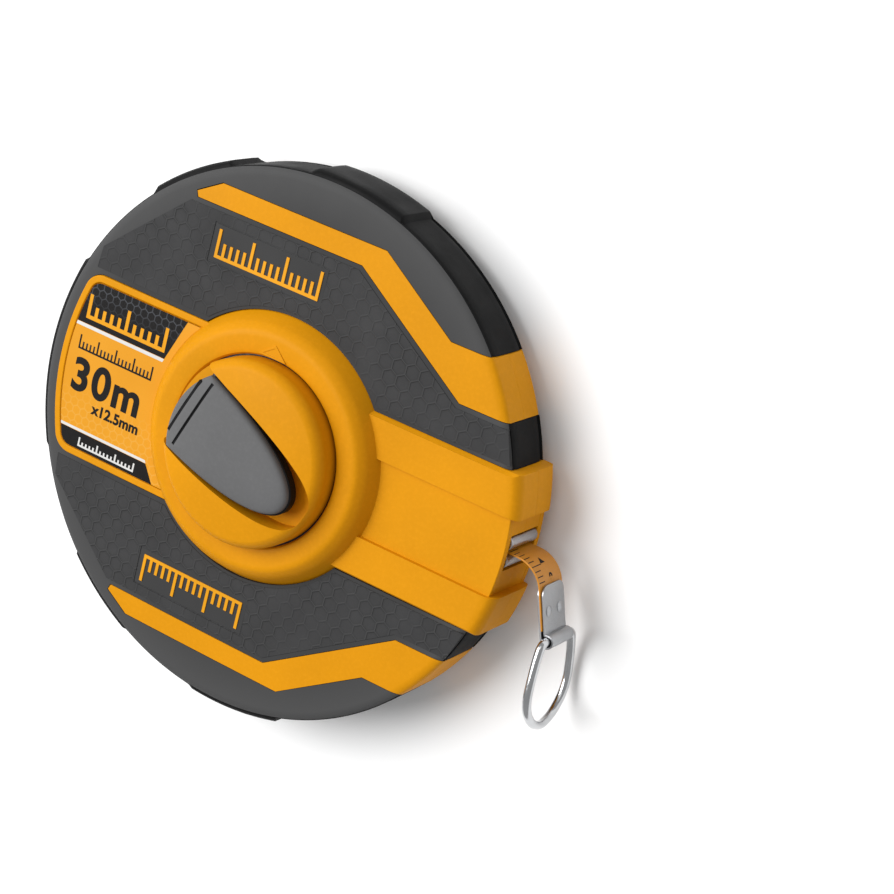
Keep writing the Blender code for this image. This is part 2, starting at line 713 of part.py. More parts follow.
def carrier():
    """The plate under the cap that carries the planets and keeps the crank in the case."""
    holes = [circle(AXLE_R + GAP, 20)]
    for angle in PLANET_ANGLES:
        for turn, radius in ((0, PLANET_PIN_R), (60, CAP_SCREW_R)):
            a = math.radians(angle + turn)
            centre = (ORBIT_R * math.cos(a), ORBIT_R * math.sin(a))
            holes.append(circle(radius + GAP, 10, centre))
    outer = circle(BOSS_BORE_R - 0.0010, 40)
    outline_solid("planet_carrier", [outer] + holes, CARRIER_Z, CARRIER_TOP_Z, STEEL)


def cap_screws():
    for number, angle in enumerate(PLANET_ANGLES, 1):
        a = math.radians(angle + 60)
        centre = (ORBIT_R * math.cos(a), ORBIT_R * math.sin(a))
        tip = CAP_Z + CAP_SCREW_GRIP
        seat = CARRIER_Z - GAP
        head = seat - CAP_SCREW_HEAD_T
        profile = [(0, tip), (CAP_SCREW_R, tip), (CAP_SCREW_R, seat), (CAP_SCREW_HEAD_R, seat),
                   (CAP_SCREW_HEAD_R, head), (0, head)]
        turned(f"cap_screw_{number}", profile, STEEL, 14, closed=False, location=(*centre, 0))


# ---------------------------------------------------------------- crank
def crank_frame():
    """The crank's own frame: u along the leaf toward its tip, at the hinge."""
    return Matrix.Rotation(CRANK_TURN, 4, "Z") @ Matrix.Translation((HINGE_U, 0, HINGE_Z))


def crank_cap():
    top = CAP_TOP_Z
    base = CAP_Z
    hollow = AXLE_HEAD_R + RUN
    dome = ((0.0162, 0.0002), (0.0082, 0.0007), (0.0036, 0.0013), (0.0015, 0.0022),
            (0.0004, 0.0034), (0, 0.0050))
    profile = [(0, top)] + [(CAP_R - inward, top - drop) for inward, drop in dome]
    profile += [(CAP_R, base), (hollow, base), (hollow, base + AXLE_HEAD_T + RUN),
                (0, base + AXLE_HEAD_T + RUN)]
    cap = turned("crank_cap", profile, ORANGE, 44, closed=False)
    far = -(CAP_R * 1.4 + HINGE_U)
    half = LEAF_HALF + POCKET_SIDE
    tail = [(far, -half), (far, half)]
    loop = leaf_outline(half, LEAF_LENGTH + POCKET_NOSE, POCKET_FULLNESS, tail)
    pocket = outline_solid("crank_pocket", [loop], -POCKET_FLOOR, 0.02, None)
    pocket.matrix_basis = crank_frame()
    pin_bore = rod("hinge_bore", HINGE_PIN_R + GAP, -HINGE_REACH - GAP, HINGE_REACH + GAP, None, 16)
    pin_bore.matrix_basis = crank_frame() @ Matrix.Rotation(math.pi / 2, 4, "X")
    deep = base + CAP_SCREW_GRIP + GAP
    holes = [rod(f"cap_hole_{a}", CAP_SCREW_R + GAP, base - 0.001, deep, None, 14,
                 (ORBIT_R * math.cos(math.radians(a + 60)), ORBIT_R * math.sin(math.radians(a + 60))))
             for a in PLANET_ANGLES]
    cut(cap, pocket, pin_bore, joined("cap_holes", holes))
    return cap


def crank_handle():
    """The folding leaf; its origin is on the hinge's axis."""
    corner = math.sqrt(LEAF_HALF ** 2 + HINGE_U ** 2)
    edge = math.degrees(math.asin(LEAF_HALF / corner))
    end_r = -HINGE_U + LEAF_TAIL
    bow = [(x - HINGE_U, y) for x, y in arc(end_r, 180 + edge - 6, 180 - edge + 6, 8)]
    loop = leaf_outline(LEAF_HALF, LEAF_LENGTH, LEAF_FULLNESS, bow)
    leaf = outline_solid("crank_handle", [loop], -LEAF_UNDER, LEAF_TOP, HANDLE)
    leaf.matrix_basis = crank_frame()
    bevel(leaf, LEAF_ROUND, 2)
    bore = rod("leaf_bore", HINGE_PIN_R + GAP, -0.02, 0.02, None, 16)
    bore.matrix_basis = crank_frame() @ Matrix.Rotation(math.pi / 2, 4, "X")
    grooves = []
    for index, (u, half) in enumerate(GROOVES):
        groove = box(f"leaf_groove_{index}", (u - GROOVE_W / 2, -half, LEAF_TOP - GROOVE_DEEP),
                     (u + GROOVE_W / 2, half, LEAF_TOP + 0.002))
        groove.matrix_basis = crank_frame() @ groove.matrix_basis
        grooves.append(groove)
    cut(leaf, bore, *grooves)
    return leaf


def handle_pin():
    pin = rod("handle_pin", HINGE_PIN_R, -HINGE_REACH, HINGE_REACH, STEEL, 16)
    pin.matrix_basis = crank_frame() @ Matrix.Rotation(math.pi / 2, 4, "X")


# ---------------------------------------------------------------- tape lead and clip
def sheet_outline(path, thickness):
    """The outline of a bent sheet whose middle follows a path."""
    left, right = [], []
    for i, point in enumerate(path):
        before = Vector(path[max(i - 1, 0)])
        after = Vector(path[min(i + 1, len(path) - 1)])
        along = (after - before).normalized()
        normal = Vector((-along.y, along.x)) * thickness / 2
        left.append(tuple(Vector(point) + normal))
        right.append(tuple(Vector(point) - normal))
    return left + right[::-1]


def lead_frame():
    """Where the curl ends: a point, the direction along the tape and the one outward from it."""
    end = Vector((CURL_X + CURL_R * math.sin(CURL_TURN), TAPE_Y - CURL_R * (1 - math.cos(CURL_TURN))))
    along = Vector((math.cos(CURL_TURN), -math.sin(CURL_TURN)))
    outward = Vector((math.sin(CURL_TURN), math.cos(CURL_TURN)))
    return end, along, outward


def on_lead(distance, offset):
    end, along, outward = lead_frame()
    return tuple(end + along * distance + outward * offset)


def rivet_tool(name, radius, low, high, width, spec, profile=None):
    """A rod or turned piece through the clip, at a place across the tape's width."""
    x, y = on_lead(RIVET_AT, 0)
    outward = lead_frame()[2]
    turn = Vector((0, 0, 1)).rotation_difference(Vector((outward.x, outward.y, 0))).to_matrix().to_4x4()
    if profile is None:
        obj = rod(name, radius, low, high, spec, 12)
        obj.matrix_basis = Matrix.Translation((x, y, MID_Z + width)) @ turn @ obj.matrix_basis
    else:
        obj = turned(name, profile, spec, 14, closed=False)
        obj.matrix_basis = Matrix.Translation((x, y, MID_Z + width)) @ turn
    return obj


def tape_lead():
    centre = (CURL_X, TAPE_Y - CURL_R)
    curl = arc(CURL_R, 90, 90 - math.degrees(CURL_TURN), 9, centre)
    path = [(LEAD_BACK_X, TAPE_Y)] + curl + [on_lead(LEAD_END, 0)]
    loop = sheet_outline(path, TAPE_T)
    lead = outline_solid("tape_lead", [loop], MID_Z - HALF_TAPE, MID_Z + HALF_TAPE, TAPE)
    holes = [rivet_tool(f"lead_hole_{i}", RIVET_R + GAP, -0.002, 0.002, w, None)
             for i, w in enumerate((-RIVET_SPREAD, RIVET_SPREAD))]
    cut(lead, joined("lead_holes", holes))
    return lead


def barrel_centre():
    return on_lead(BARREL_AT, BARREL_OUT)


def clip():
    """The end clip: a strip folded over the tape's end and rolled round the ring's bar."""
    centre = Vector(barrel_centre())
    end, along, outward = lead_frame()
    roll = []
    sweep = math.pi + math.acos((PLATE_OFF - BARREL_OUT) / BARREL_R)
    for i in range(13):
        angle = math.pi - sweep * i / 12
        roll.append(tuple(centre + outward * BARREL_R * math.cos(angle) + along * BARREL_R * math.sin(angle)))
    top = on_lead(CLIP_START, PLATE_OFF)
    path = [on_lead(CLIP_START, -PLATE_OFF)] + roll + [top]
    loop = sheet_outline(path, CLIP_T)
    body = outline_solid("end_clip", [loop], MID_Z - HALF_TAPE, MID_Z + HALF_TAPE, STEEL)
    holes = [rivet_tool(f"clip_hole_{i}", RIVET_R + GAP, -0.003, 0.003, w, None)
             for i, w in enumerate((-RIVET_SPREAD, RIVET_SPREAD))]
    cut(body, joined("clip_holes", holes))
    return body


def rivets():
    face = PLATE_OFF + CLIP_T / 2 + GAP
    head = face + RIVET_HEAD_T
    dome = RIVET_HEAD_R * 0.6
    edge = head - RIVET_HEAD_T / 5
    profile = [(0, head), (dome, edge), (RIVET_HEAD_R, face), (RIVET_R, face),
               (RIVET_R, -face), (RIVET_HEAD_R, -face), (dome, -edge), (0, -head)]
    for number, width in enumerate((-RIVET_SPREAD, RIVET_SPREAD), 1):
        rivet_tool(f"clip_rivet_{number}", 0, 0, 0, width, STEEL, profile)


def d_ring():
    """A wire ring whose straight bar turns in the clip's barrel; its origin is on the bar."""
    bar = HALF_TAPE + 2 * GAP
    wide = RING_HALF
    half = [(0, 0), (0, bar), (0.0006, bar + 0.0014), (0.0020, wide - 0.0020), (0.0060, wide - 0.0009)]
    half += [(RING_DROP * share, wide + inward) for share, inward in RING_SIDE_SHARES]
    half.append((RING_DROP, 0))
    loop = half + [(s, -w) for s, w in reversed(half[1:-1])]
    curve = bpy.data.curves.new("d_ring", "CURVE")
    curve.dimensions = "3D"
    curve.bevel_depth = WIRE_R
    curve.bevel_resolution = 2
    curve.render_resolution_u = 0
    spline = curve.splines.new("POLY")
    spline.points.add(len(loop) - 1)
    for point, (s, w) in zip(spline.points, loop):
        point.co = (s * math.sin(RING_LEAN), -s * math.cos(RING_LEAN), w, 1)
    spline.use_cyclic_u = True
    obj = bpy.data.objects.new("d_ring", curve)
    obj.location = (*barrel_centre(), MID_Z)
    return place(obj, "d_ring", CHROME)


def tape_run():
    """The tape's straight run inside the case, from the coil down to the rollers."""
    end = Vector((ROLLER_X - 0.0032, TAPE_Y + TAPE_T + 2 * GAP + 0.0003))
    radius = COIL_R + GAP + TAPE_T / 2
    angle = math.atan2(end.y, end.x) + math.acos(radius / end.length)
    start = (radius * math.cos(angle), radius * math.sin(angle))
    loop = sheet_outline([start, tuple(end)], TAPE_T)
    outline_solid("tape_run", [loop], MID_Z - HALF_TAPE, MID_Z + HALF_TAPE, TAPE)


# ---------------------------------------------------------------- build
def build():
    front_shell()
    rear_shell()
    skin("front_skin", 1, "front")
    skin("rear_skin", -1, "rear")
    bumpers()
    label()
    case_screws()
    rollers()
    axle_and_screw()
    reel()
    gears()
    carrier()
    cap_screws()
    crank_cap()
    crank_handle()
    handle_pin()
    tape_run()
    tape_lead()
    clip()
    rivets()
    d_ring()


clear_scene()
PARTS = make_collection("long_tape_measure", False)
CUTTERS = make_collection("cutters", True)
build()
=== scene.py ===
"""Looks for the long tape measure in a closed round case.

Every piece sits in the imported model's frame, in metres: +X out of the mouth, +Z out of the
crank side, the origin on the reel's axis under the rear foot.
"""
import json
import math

import bmesh
import bpy
from mathutils import Matrix, Vector


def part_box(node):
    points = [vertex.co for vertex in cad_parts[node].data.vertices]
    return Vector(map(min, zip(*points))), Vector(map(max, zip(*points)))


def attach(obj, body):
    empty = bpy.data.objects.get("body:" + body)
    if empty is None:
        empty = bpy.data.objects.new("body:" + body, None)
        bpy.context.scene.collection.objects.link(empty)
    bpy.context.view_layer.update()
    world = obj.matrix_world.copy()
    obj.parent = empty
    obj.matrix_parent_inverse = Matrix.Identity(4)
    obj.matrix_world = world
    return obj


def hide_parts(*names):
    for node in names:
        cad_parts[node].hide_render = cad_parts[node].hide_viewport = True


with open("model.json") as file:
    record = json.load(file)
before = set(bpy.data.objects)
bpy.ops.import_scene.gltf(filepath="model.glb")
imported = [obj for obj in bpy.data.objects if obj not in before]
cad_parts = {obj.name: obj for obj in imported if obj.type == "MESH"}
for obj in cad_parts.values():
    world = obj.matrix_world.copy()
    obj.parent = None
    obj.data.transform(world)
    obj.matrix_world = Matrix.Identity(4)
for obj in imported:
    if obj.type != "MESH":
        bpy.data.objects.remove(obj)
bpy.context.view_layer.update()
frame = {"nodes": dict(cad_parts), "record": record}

# ---------------------------------------------------------------- places, from the frame
COIL_LOW, COIL_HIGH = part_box("tape_coil")
MID_Z = (COIL_LOW[2] + COIL_HIGH[2]) / 2
FACE_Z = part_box("front_skin")[1][2]
SKIN_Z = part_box("front_skin")[0][2]
PANEL_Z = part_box("front_flange")[1][2] + 0.0003
HUB_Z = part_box("front_shell")[1][2]
CAP_LOW, CAP_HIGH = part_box("crank_cap")
LEAF_LOW, LEAF_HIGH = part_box("crank_handle")
CAP_R = (CAP_HIGH[0] - CAP_LOW[0]) / 2
ROLLER_LOW, ROLLER_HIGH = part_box("upper_roller")
LOWER_ROLLER_LOW, LOWER_ROLLER_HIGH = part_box("lower_roller")
ROLLER_X = (ROLLER_LOW[0] + ROLLER_HIGH[0]) / 2
ROLLER_R = (ROLLER_HIGH[0] - ROLLER_LOW[0]) / 2
TAPE_Y = (ROLLER_LOW[1] + LOWER_ROLLER_HIGH[1]) / 2
TAPE_W = COIL_HIGH[2] - COIL_LOW[2]
JOINTS = {joint["name"]: joint for joint in frame["record"]["behaviour"]["joints"]}
HINGE = Vector(JOINTS["handle_fold"]["pos_m"])
RING_PIVOT = Vector(JOINTS["ring_swing"]["pos_m"])

# ---------------------------------------------------------------- sizes of what is only looks
EDGE_R = 0.0769
PAD_RISE = 0.0016
PADS = ((73, 94.5), (115, 134), (158.5, 201.5), (226, 245), (265.5, 287))
CHAMFER = 0.0021
CHAMFER_DROP = 0.0010
SHOULDER = ((0.0026, 0), (0.0019, 0.0001), (0.0012, 0.0003), (0.0006, 0.0006), (0.0002, 0.0010))
CROWN = 0.00025
HUB_R = 0.0380
HUB_IN = 0.0298
UNDER_HUB = 0.030
PAST_RIM = 0.1
HUB_CURVE = ((0.0020, 0.0026), (0.0032, 0.0014), (0.0039, 0.0008), (0.0044, 0.00045), (0.0049, 0.0002),
             (0.0055, 0.00005), (0.0062, 0))
RAIL_IN = 0.0114
RAIL_OUT = 0.0222
RAIL_DRAFT = 0.0009
RAIL_RISE = 0.0012
RAIL_R = 0.0800
RAIL_ROUND = 0.0034
WALL_IN = 0.0740
LIP_R = 0.0779
SEAM = 0.00002
RUBBER_GAP = 0.00016
CASE_SCREWS = 6
SLOT_REACH = 0.0012
SLOT_HALF = 0.00028
STRIPE_LOW = 0.0346
STRIPE_HIGH = 0.0491
STRIPE_IN = 0.0745
STRIPE_TOP = ((0.0470, 0.0491), (0.0221, 0.0652), (-0.0320, 0.0652), (-0.0397, 0.0606))
STRIPE_BOTTOM = ((-0.0390, 0.0590), (0.0160, 0.0590), (0.0539, 0.0346))
LABEL_R = 0.0726
LABEL_HALF = 0.0270
LABEL_BORDER = 0.0021
LABEL_CORNER = 0.0060
TICK_WIDTH = 0.42
SHORT_TICK = 0.56
CAP_ROUND = 0.0037
CAP_EDGE = 0.0052
POCKET_DEPTH = 0.0048
POCKET_SHIFT = 0.0007
CRANK_TURN = math.radians(-21.3)
LEAF_HALF = 0.0132
LEAF_LENGTH = 0.0400
LEAF_MIDDLE = 0.016
LEAF_BACK = 0.0006
LEAF_ASIDE = 0.0007
HINGE_U = -0.0185
CURL_R = 0.0090
CURL_TURN = math.radians(69.6)
CURL_X = ROLLER_X + 0.0040
TAPE_T = 0.00045
FIGURE_AT = 0.0140
ARROW = ((0.0068, 0.0), (0.0086, 0.0011), (0.0086, -0.0011))
MARK_STEP = 0.0015
CLIP_T = 0.0005
CLIP_TOP = -0.0008
CLIP_HALF = 0.0058
WIRE_R = 0.0012

# ---------------------------------------------------------------- looks of the materials
PLASTIC_GLOSS = 0.07
RUBBER_GLOSS = 0.09
PRINT_GLOSS = 0.12
# Painted highlight: the radii over which a grey face turns lighter toward the rim, in place of the light on
# its curve.
RIM_LIGHT_FADE = (0.060, 0.0755)
HEX_PITCH = 0.0043
MATERIALS = {}


# ---------------------------------------------------------------- node helpers
class Nodes:
    """A short way to write a material's node tree."""

    def __init__(self, name, colour, roughness, metallic=0.0, gloss=0.5):
        self.material = bpy.data.materials.new(name)
        self.material.use_nodes = True
        self.tree = self.material.node_tree
        self.shader = self.tree.nodes["Principled BSDF"]
        self.fill(self.shader, {"Base Color": colour, "Roughness": roughness, "Metallic": metallic,
                                "Specular IOR Level": gloss})
        self.place = self.add("ShaderNodeTexCoord").outputs["Object"]
        self.normal = None

    def fill(self, node, inputs):
        """Links or sets a node's inputs, by name or number; a colour gets its alpha."""
        for key, given in inputs.items():
            socket = node.inputs[key]
            if isinstance(given, bpy.types.NodeSocket):
                self.tree.links.new(given, socket)
            else:
                socket.default_value = (*given, 1) if socket.type == "RGBA" else given

    def add(self, kind, inputs=None, **settings):
        node = self.tree.nodes.new(kind)
        for key, value in settings.items():
            setattr(node, key, value)
        self.fill(node, inputs or {})
        return node

    def value(self, operation, *inputs):
        return self.add("ShaderNodeMath", dict(enumerate(inputs)), operation=operation).outputs[0]

    def vector(self, operation, *inputs):
        node = self.add("ShaderNodeVectorMath", dict(enumerate(inputs)), operation=operation)
        return node.outputs["Value" if operation in ("LENGTH", "DOT_PRODUCT") else "Vector"]

    def noise(self, scale, detail=3.0, roughness=0.5, stretch=None):
        source = self.vector("MULTIPLY", self.place, stretch) if stretch else self.place
        inputs = {"Vector": source, "Scale": scale, "Detail": detail, "Roughness": roughness}
        return self.add("ShaderNodeTexNoise", inputs).outputs["Fac"]

    def ramp(self, source, low, high, start, end):
        """Maps source from low..high to start..end, clamped."""
        inputs = {"Value": source, "From Min": low, "From Max": high, "To Min": start, "To Max": end}
        return self.add("ShaderNodeMapRange", inputs).outputs["Result"]

    def cloud(self, scale, detail, low=0.3, high=0.7):
        """Noise from 0 to 1, sharpened between low and high."""
        return self.ramp(self.noise(scale, detail), low, high, 0, 1)

    def mix(self, factor, first, second):
        inputs = {"Factor": factor, "A": first, "B": second}
        return self.add("ShaderNodeMix", inputs, data_type="RGBA").outputs["Result"]

    def colour(self, source):
        self.fill(self.shader, {"Base Color": source})

    def roughness(self, source):
        self.fill(self.shader, {"Roughness": source})

    def bump(self, height, strength, distance):
        inputs = {"Height": height, "Strength": strength, "Distance": distance}
        if self.normal:
            inputs["Normal"] = self.normal
        self.normal = self.add("ShaderNodeBump", inputs).outputs["Normal"]
        self.fill(self.shader, {"Normal": self.normal})

    def hexagons(self, pitch, shift=(0.0, 0.0)):
        """Distance from the nearest cell edge of a hexagon grid in XY: 0 at an edge, 0.5 inside."""
        flat = self.vector("MULTIPLY", self.place, (1 / pitch, 1 / pitch, 0))
        flat = self.vector("ADD", flat, (shift[0] + 500, shift[1] + 500 * math.sqrt(3), 0))
        cell = (1, math.sqrt(3), 1)
        half = (0.5, math.sqrt(3) / 2, 0)
        first = self.vector("SUBTRACT", self.vector("MODULO", flat, cell), half)
        moved = self.vector("SUBTRACT", flat, half)
        second = self.vector("SUBTRACT", self.vector("MODULO", moved, cell), half)
        nearer = self.value("LESS_THAN", self.vector("LENGTH", first), self.vector("LENGTH", second))
        pick = self.add("ShaderNodeMix", {"Factor": nearer, 4: second, 5: first}, data_type="VECTOR")
        spot = self.vector("ABSOLUTE", pick.outputs[1])
        slant = self.vector("DOT_PRODUCT", spot, (0.5, math.sqrt(3) / 2, 0))
        across = self.vector("DOT_PRODUCT", spot, (1, 0, 0))
        return self.value("SUBTRACT", 0.5, self.value("MAXIMUM", slant, across))


def worn_colour(nodes, colour, darker, lighter):
    """Slow cloudy variation of a colour, with a finer fleck over it."""
    cloud = nodes.cloud(38, 4, 0.35, 0.65)
    base = nodes.mix(cloud, tuple(c * darker for c in colour), tuple(c * lighter for c in colour))
    fleck = nodes.ramp(nodes.noise(900, 2), 0.45, 0.75, 0, 0.10)
    nodes.colour(nodes.mix(fleck, base, tuple(min(c * 1.5 + 0.01, 1) for c in colour)))


def plastic(name, colour, roughness, grain):
    """Moulded plastic: fine spark grain over slow waves, with a smeared sheen."""
    nodes = Nodes(name, colour, roughness, gloss=PLASTIC_GLOSS)
    worn_colour(nodes, colour, 0.95, 1.04)
    smear = nodes.ramp(nodes.noise(60, 5, 0.6), 0.3, 0.7, roughness - 0.05, roughness + 0.07)
    nodes.roughness(smear)
    nodes.bump(nodes.noise(5200, 2), grain, 0.00006)
    nodes.bump(nodes.noise(700, 4, 0.6, (1, 1, 0.4)), grain * 0.6, 0.00010)
    return nodes.material


def rubber(name, colour, roughness, lit_rim_colour=None):
    """Soft overmoulded rubber: fine leathery grain; given a rim colour, a painted highlight makes it a little
    lighter toward the rim.
    """
    nodes = Nodes(name, colour, roughness, gloss=RUBBER_GLOSS)
    worn_colour(nodes, colour, 0.93, 1.07)
    if lit_rim_colour:
        # Painted highlight: lighter toward the rim, in place of the light on the face's curve.
        flat = nodes.vector("MULTIPLY", nodes.place, (1, 1, 0))
        rim_light_share = nodes.ramp(nodes.vector("LENGTH", flat), *RIM_LIGHT_FADE, 0, 1)
        cloud = nodes.cloud(38, 4)
        inner = nodes.mix(cloud, tuple(c * 0.93 for c in colour), tuple(c * 1.07 for c in colour))
        nodes.colour(nodes.mix(rim_light_share, inner, lit_rim_colour))
    nodes.roughness(nodes.ramp(nodes.noise(90, 4), 0.3, 0.7, roughness - 0.06, roughness + 0.08))
    nodes.bump(nodes.noise(2600, 3, 0.6), 0.28, 0.00007)
    nodes.bump(nodes.noise(300, 3), 0.10, 0.00020)
    return nodes.material


def hex_rubber(name, colour):
    """The grip panel: raised hexagon outlines on a faintly rough ground, with a painted highlight on the
    outlines and painted shade in the cells beside them.
    """
    nodes = Nodes(name, colour, 0.62, gloss=PRINT_GLOSS)
    edge = nodes.hexagons(HEX_PITCH)
    line = nodes.ramp(edge, 0.025, 0.075, 1, 0)
    patch = nodes.ramp(nodes.noise(58, 4, 0.65), 0.38, 0.58, 0.22, 1)
    ridge = nodes.value("MULTIPLY", line, patch)
    cloud = nodes.ramp(nodes.noise(70, 5, 0.65), 0.3, 0.7, 0, 1)
    ground = nodes.mix(cloud, tuple(c * 0.86 for c in colour), tuple(c * 1.10 for c in colour))
    # Painted shade: each cell darker next to its raised outline.
    shade = nodes.ramp(edge, 0.0, 0.22, 0.45, 0)
    darker = nodes.mix(nodes.value("MULTIPLY", shade, patch), ground, tuple(c * 0.50 for c in colour))
    # Painted highlight: the raised outlines made lighter.
    fade = nodes.value("MULTIPLY", ridge, 0.44)
    nodes.colour(nodes.mix(fade, darker, tuple(c * 1.7 for c in colour)))
    nodes.roughness(nodes.ramp(nodes.noise(120, 4), 0.3, 0.7, 0.54, 0.70))
    nodes.bump(nodes.noise(2300, 4, 0.65), 0.35, 0.00009)
    nodes.bump(nodes.noise(420, 4, 0.6), 0.22, 0.00022)
    nodes.bump(ridge, 0.75, 0.00025)
    return nodes.material


def label_hex(name):
    """Black header print with grey hexagon lines that fade out downward."""
    nodes = Nodes(name, (0.0092, 0.0077, 0.0077), 0.32, gloss=PRINT_GLOSS)
    edge = nodes.hexagons(0.0025)
    line = nodes.ramp(edge, 0.03, 0.09, 1, 0)
    height = nodes.vector("DOT_PRODUCT", nodes.place, (0, 1, 0))
    top = nodes.ramp(height, 0.0165, 0.0225, 0, 1)
    ink = nodes.value("MULTIPLY", line, top)
    nodes.colour(nodes.mix(ink, (0.0077, 0.0069, 0.0069), (0.055, 0.058, 0.066)))
    nodes.bump(nodes.noise(1500, 2), 0.05, 0.00005)
    return nodes.material


def label_body(name):
    """Orange print with a faint honeycomb in its lower part."""
    nodes = Nodes(name, (0.693, 0.3311, 0.0385), 0.34, gloss=PRINT_GLOSS)
    line = nodes.ramp(nodes.hexagons(0.0026, (0.3, 0.1)), 0.03, 0.09, 1, 0)
    height = nodes.vector("DOT_PRODUCT", nodes.place, (0, 1, 0))
    low = nodes.ramp(height, -0.006, -0.013, 0, 0.45)
    ink = nodes.value("MULTIPLY", line, low)
    cloud = nodes.cloud(45, 3)
    paper = nodes.mix(cloud, (0.6391, 0.2656, 0.0108), (0.6853, 0.2964, 0.0169))
    nodes.colour(nodes.mix(ink, paper, (0.7161, 0.385, 0.077)))
    nodes.bump(nodes.noise(1500, 2), 0.05, 0.00005)
    return nodes.material


def printed(name, colour, roughness=0.35):
    nodes = Nodes(name, colour, roughness, gloss=PRINT_GLOSS)
    worn_colour(nodes, colour, 0.94, 1.05)
    nodes.bump(nodes.noise(3000, 2), 0.05, 0.00003)
    return nodes.material


def metal(name, colour, roughness, stretch=(1, 1, 40), grain=0.12):
    """Bright metal with fine drawn scratches and cloudy roughness."""
    nodes = Nodes(name, colour, roughness, 1.0)
    cloud = nodes.cloud(140, 4)
    nodes.colour(nodes.mix(cloud, tuple(c * 0.88 for c in colour), colour))
    scratch = nodes.noise(900, 3, 0.6, stretch)
    nodes.roughness(nodes.ramp(scratch, 0.3, 0.75, roughness * 0.75, roughness * 1.5))
    nodes.bump(scratch, grain, 0.00004)
    return nodes.material


def tape_cloth(name, colour):
    """Coated glass-fibre tape: lengthwise ribs under a smooth coat."""
    nodes = Nodes(name, colour, 0.42)
    worn_colour(nodes, colour, 0.90, 1.06)
    across = nodes.vector("DOT_PRODUCT", nodes.place, (0, 0, 1))
    rib = nodes.value("SINE", nodes.value("MULTIPLY", across, 2 * math.pi / 0.00062))
    nodes.bump(rib, 0.22, 0.00005)
    nodes.bump(nodes.noise(2600, 2), 0.10, 0.00005)
    return nodes.material


def coil_material(name):
    """The wound tape seen edge on: hundreds of thin turns."""
    nodes = Nodes(name, (0.5544, 0.231, 0.0154), 0.55)
    flat = nodes.vector("MULTIPLY", nodes.place, (1, 1, 0))
    turn = nodes.value("FRACT", nodes.value("DIVIDE", nodes.vector("LENGTH", flat), 0.0009))
    edge = nodes.ramp(turn, 0.55, 0.9, 0, 1)
    nodes.colour(nodes.mix(edge, (0.5544, 0.2233, 0.0154), (0.231, 0.077, 0.0077)))
    nodes.bump(edge, 0.4, 0.0001)
    return nodes.material


def make_materials():
    orange = (0.632, 0.258, 0.0030)
    MATERIALS.update({
        "orange": plastic("orange_case", orange, 0.46, 0.12),
        # Painted shade: a darker copy of the case orange for the CAD parts inside the case.
        "orange_shaded": plastic("orange_shaded_inside", (0.4774, 0.1809, 0.0062), 0.50, 0.12),
        # The second colour of each grey face is a painted highlight toward its rim.
        "grey": rubber("grey_face", (0.0430, 0.0430, 0.0435), 0.60, (0.0680, 0.0680, 0.0685)),
        "rear_grey": rubber("grey_rear", (0.0601, 0.0601, 0.0608), 0.60, (0.077, 0.077, 0.0778)),
        "hex": hex_rubber("grey_grip", (0.0425, 0.0425, 0.0435)),
        "black": rubber("black_rim", (0.0060, 0.0060, 0.0062), 0.55),
        "handle": plastic("handle_plastic", (0.1260, 0.1260, 0.1280), 0.48, 0.16),
        # Painted shadow: the black of the leaf's skirt and of the strips in its grooves.
        "groove": rubber("painted_shadow_black", (0.0092, 0.0092, 0.01), 0.6),
        "header": label_hex("label_header"),
        "paper": label_body("label_orange"),
        "ink": printed("label_ink", (0.0077, 0.0069, 0.0069)),
        "white": printed("label_white", (0.616, 0.616, 0.6006)),
        "mark": printed("orange_mark", (0.6900, 0.3000, 0.0080), 0.4),
        "tape": tape_cloth("tape_cloth", (0.53, 0.205, 0.006)),
        "coil": coil_material("tape_edges"),
        "steel": metal("zinc_steel", (0.4774, 0.4774, 0.4928), 0.26),
        # Painted shade: steel darkened so that parts deep in the gaps round the cap show no glints.
        "shade_dark_steel": metal("steel_darkened_as_shade", (0.077, 0.077, 0.077), 0.45),
        "clip": metal("clip_steel", (0.4200, 0.4280, 0.4420), 0.32, (60, 4, 1), 0.20),
        "chrome": metal("ring_chrome", (0.5800, 0.5880, 0.6000), 0.16, (1, 1, 1), 0.04),
        "nylon": plastic("white_nylon", (0.5082, 0.5005, 0.4697), 0.45, 0.14),
    })


# ---------------------------------------------------------------- mesh helpers
def new_object(name, shape):
    mesh = bpy.data.meshes.new(name)
    bmesh.ops.recalc_face_normals(shape, faces=shape.faces)
    shape.to_mesh(mesh)
    shape.free()
    obj = bpy.data.objects.new(name, mesh)
    bpy.context.scene.collection.objects.link(obj)
    return obj


def grid_solid(name, loops, closed=True):
    """A solid skinned over loops of the same length; closed joins the last loop to the first."""
    shape = bmesh.new()
    rings = [[shape.verts.new(point) for point in loop] for loop in loops]
    pairs = list(zip(rings, rings[1:]))
    if closed:
        pairs.append((rings[-1], rings[0]))
    for one, two in pairs:
        for i in range(len(one)):
            j = (i + 1) % len(one)
            shape.faces.new((one[i], one[j], two[j], two[i]))
    if not closed:
        shape.faces.new(rings[0])
        shape.faces.new(rings[-1])
    return new_object(name, shape)


def lathe(name, profile, segments=144, centre=(0, 0)):
    """A ring or puck turned about Z from a closed profile of (radius, z)."""
    loops = []
    for i in range(segments):
        a = math.tau * i / segments
        loops.append([(centre[0] + r * math.cos(a), centre[1] + r * math.sin(a), z) for r, z in profile])
    return grid_solid(name, loops)


def knob(name, profile, segments=64, centre=(0, 0)):
    """A turned solid whose profile starts and ends on the axis."""
    inner = [(max(r, 0.000001), z) for r, z in profile]
    loops = []
    for r, z in inner:
        loops.append([(centre[0] + r * math.cos(math.tau * i / segments),
                       centre[1] + r * math.sin(math.tau * i / segments), z) for i in range(segments)])
    return grid_solid(name, loops, closed=False)


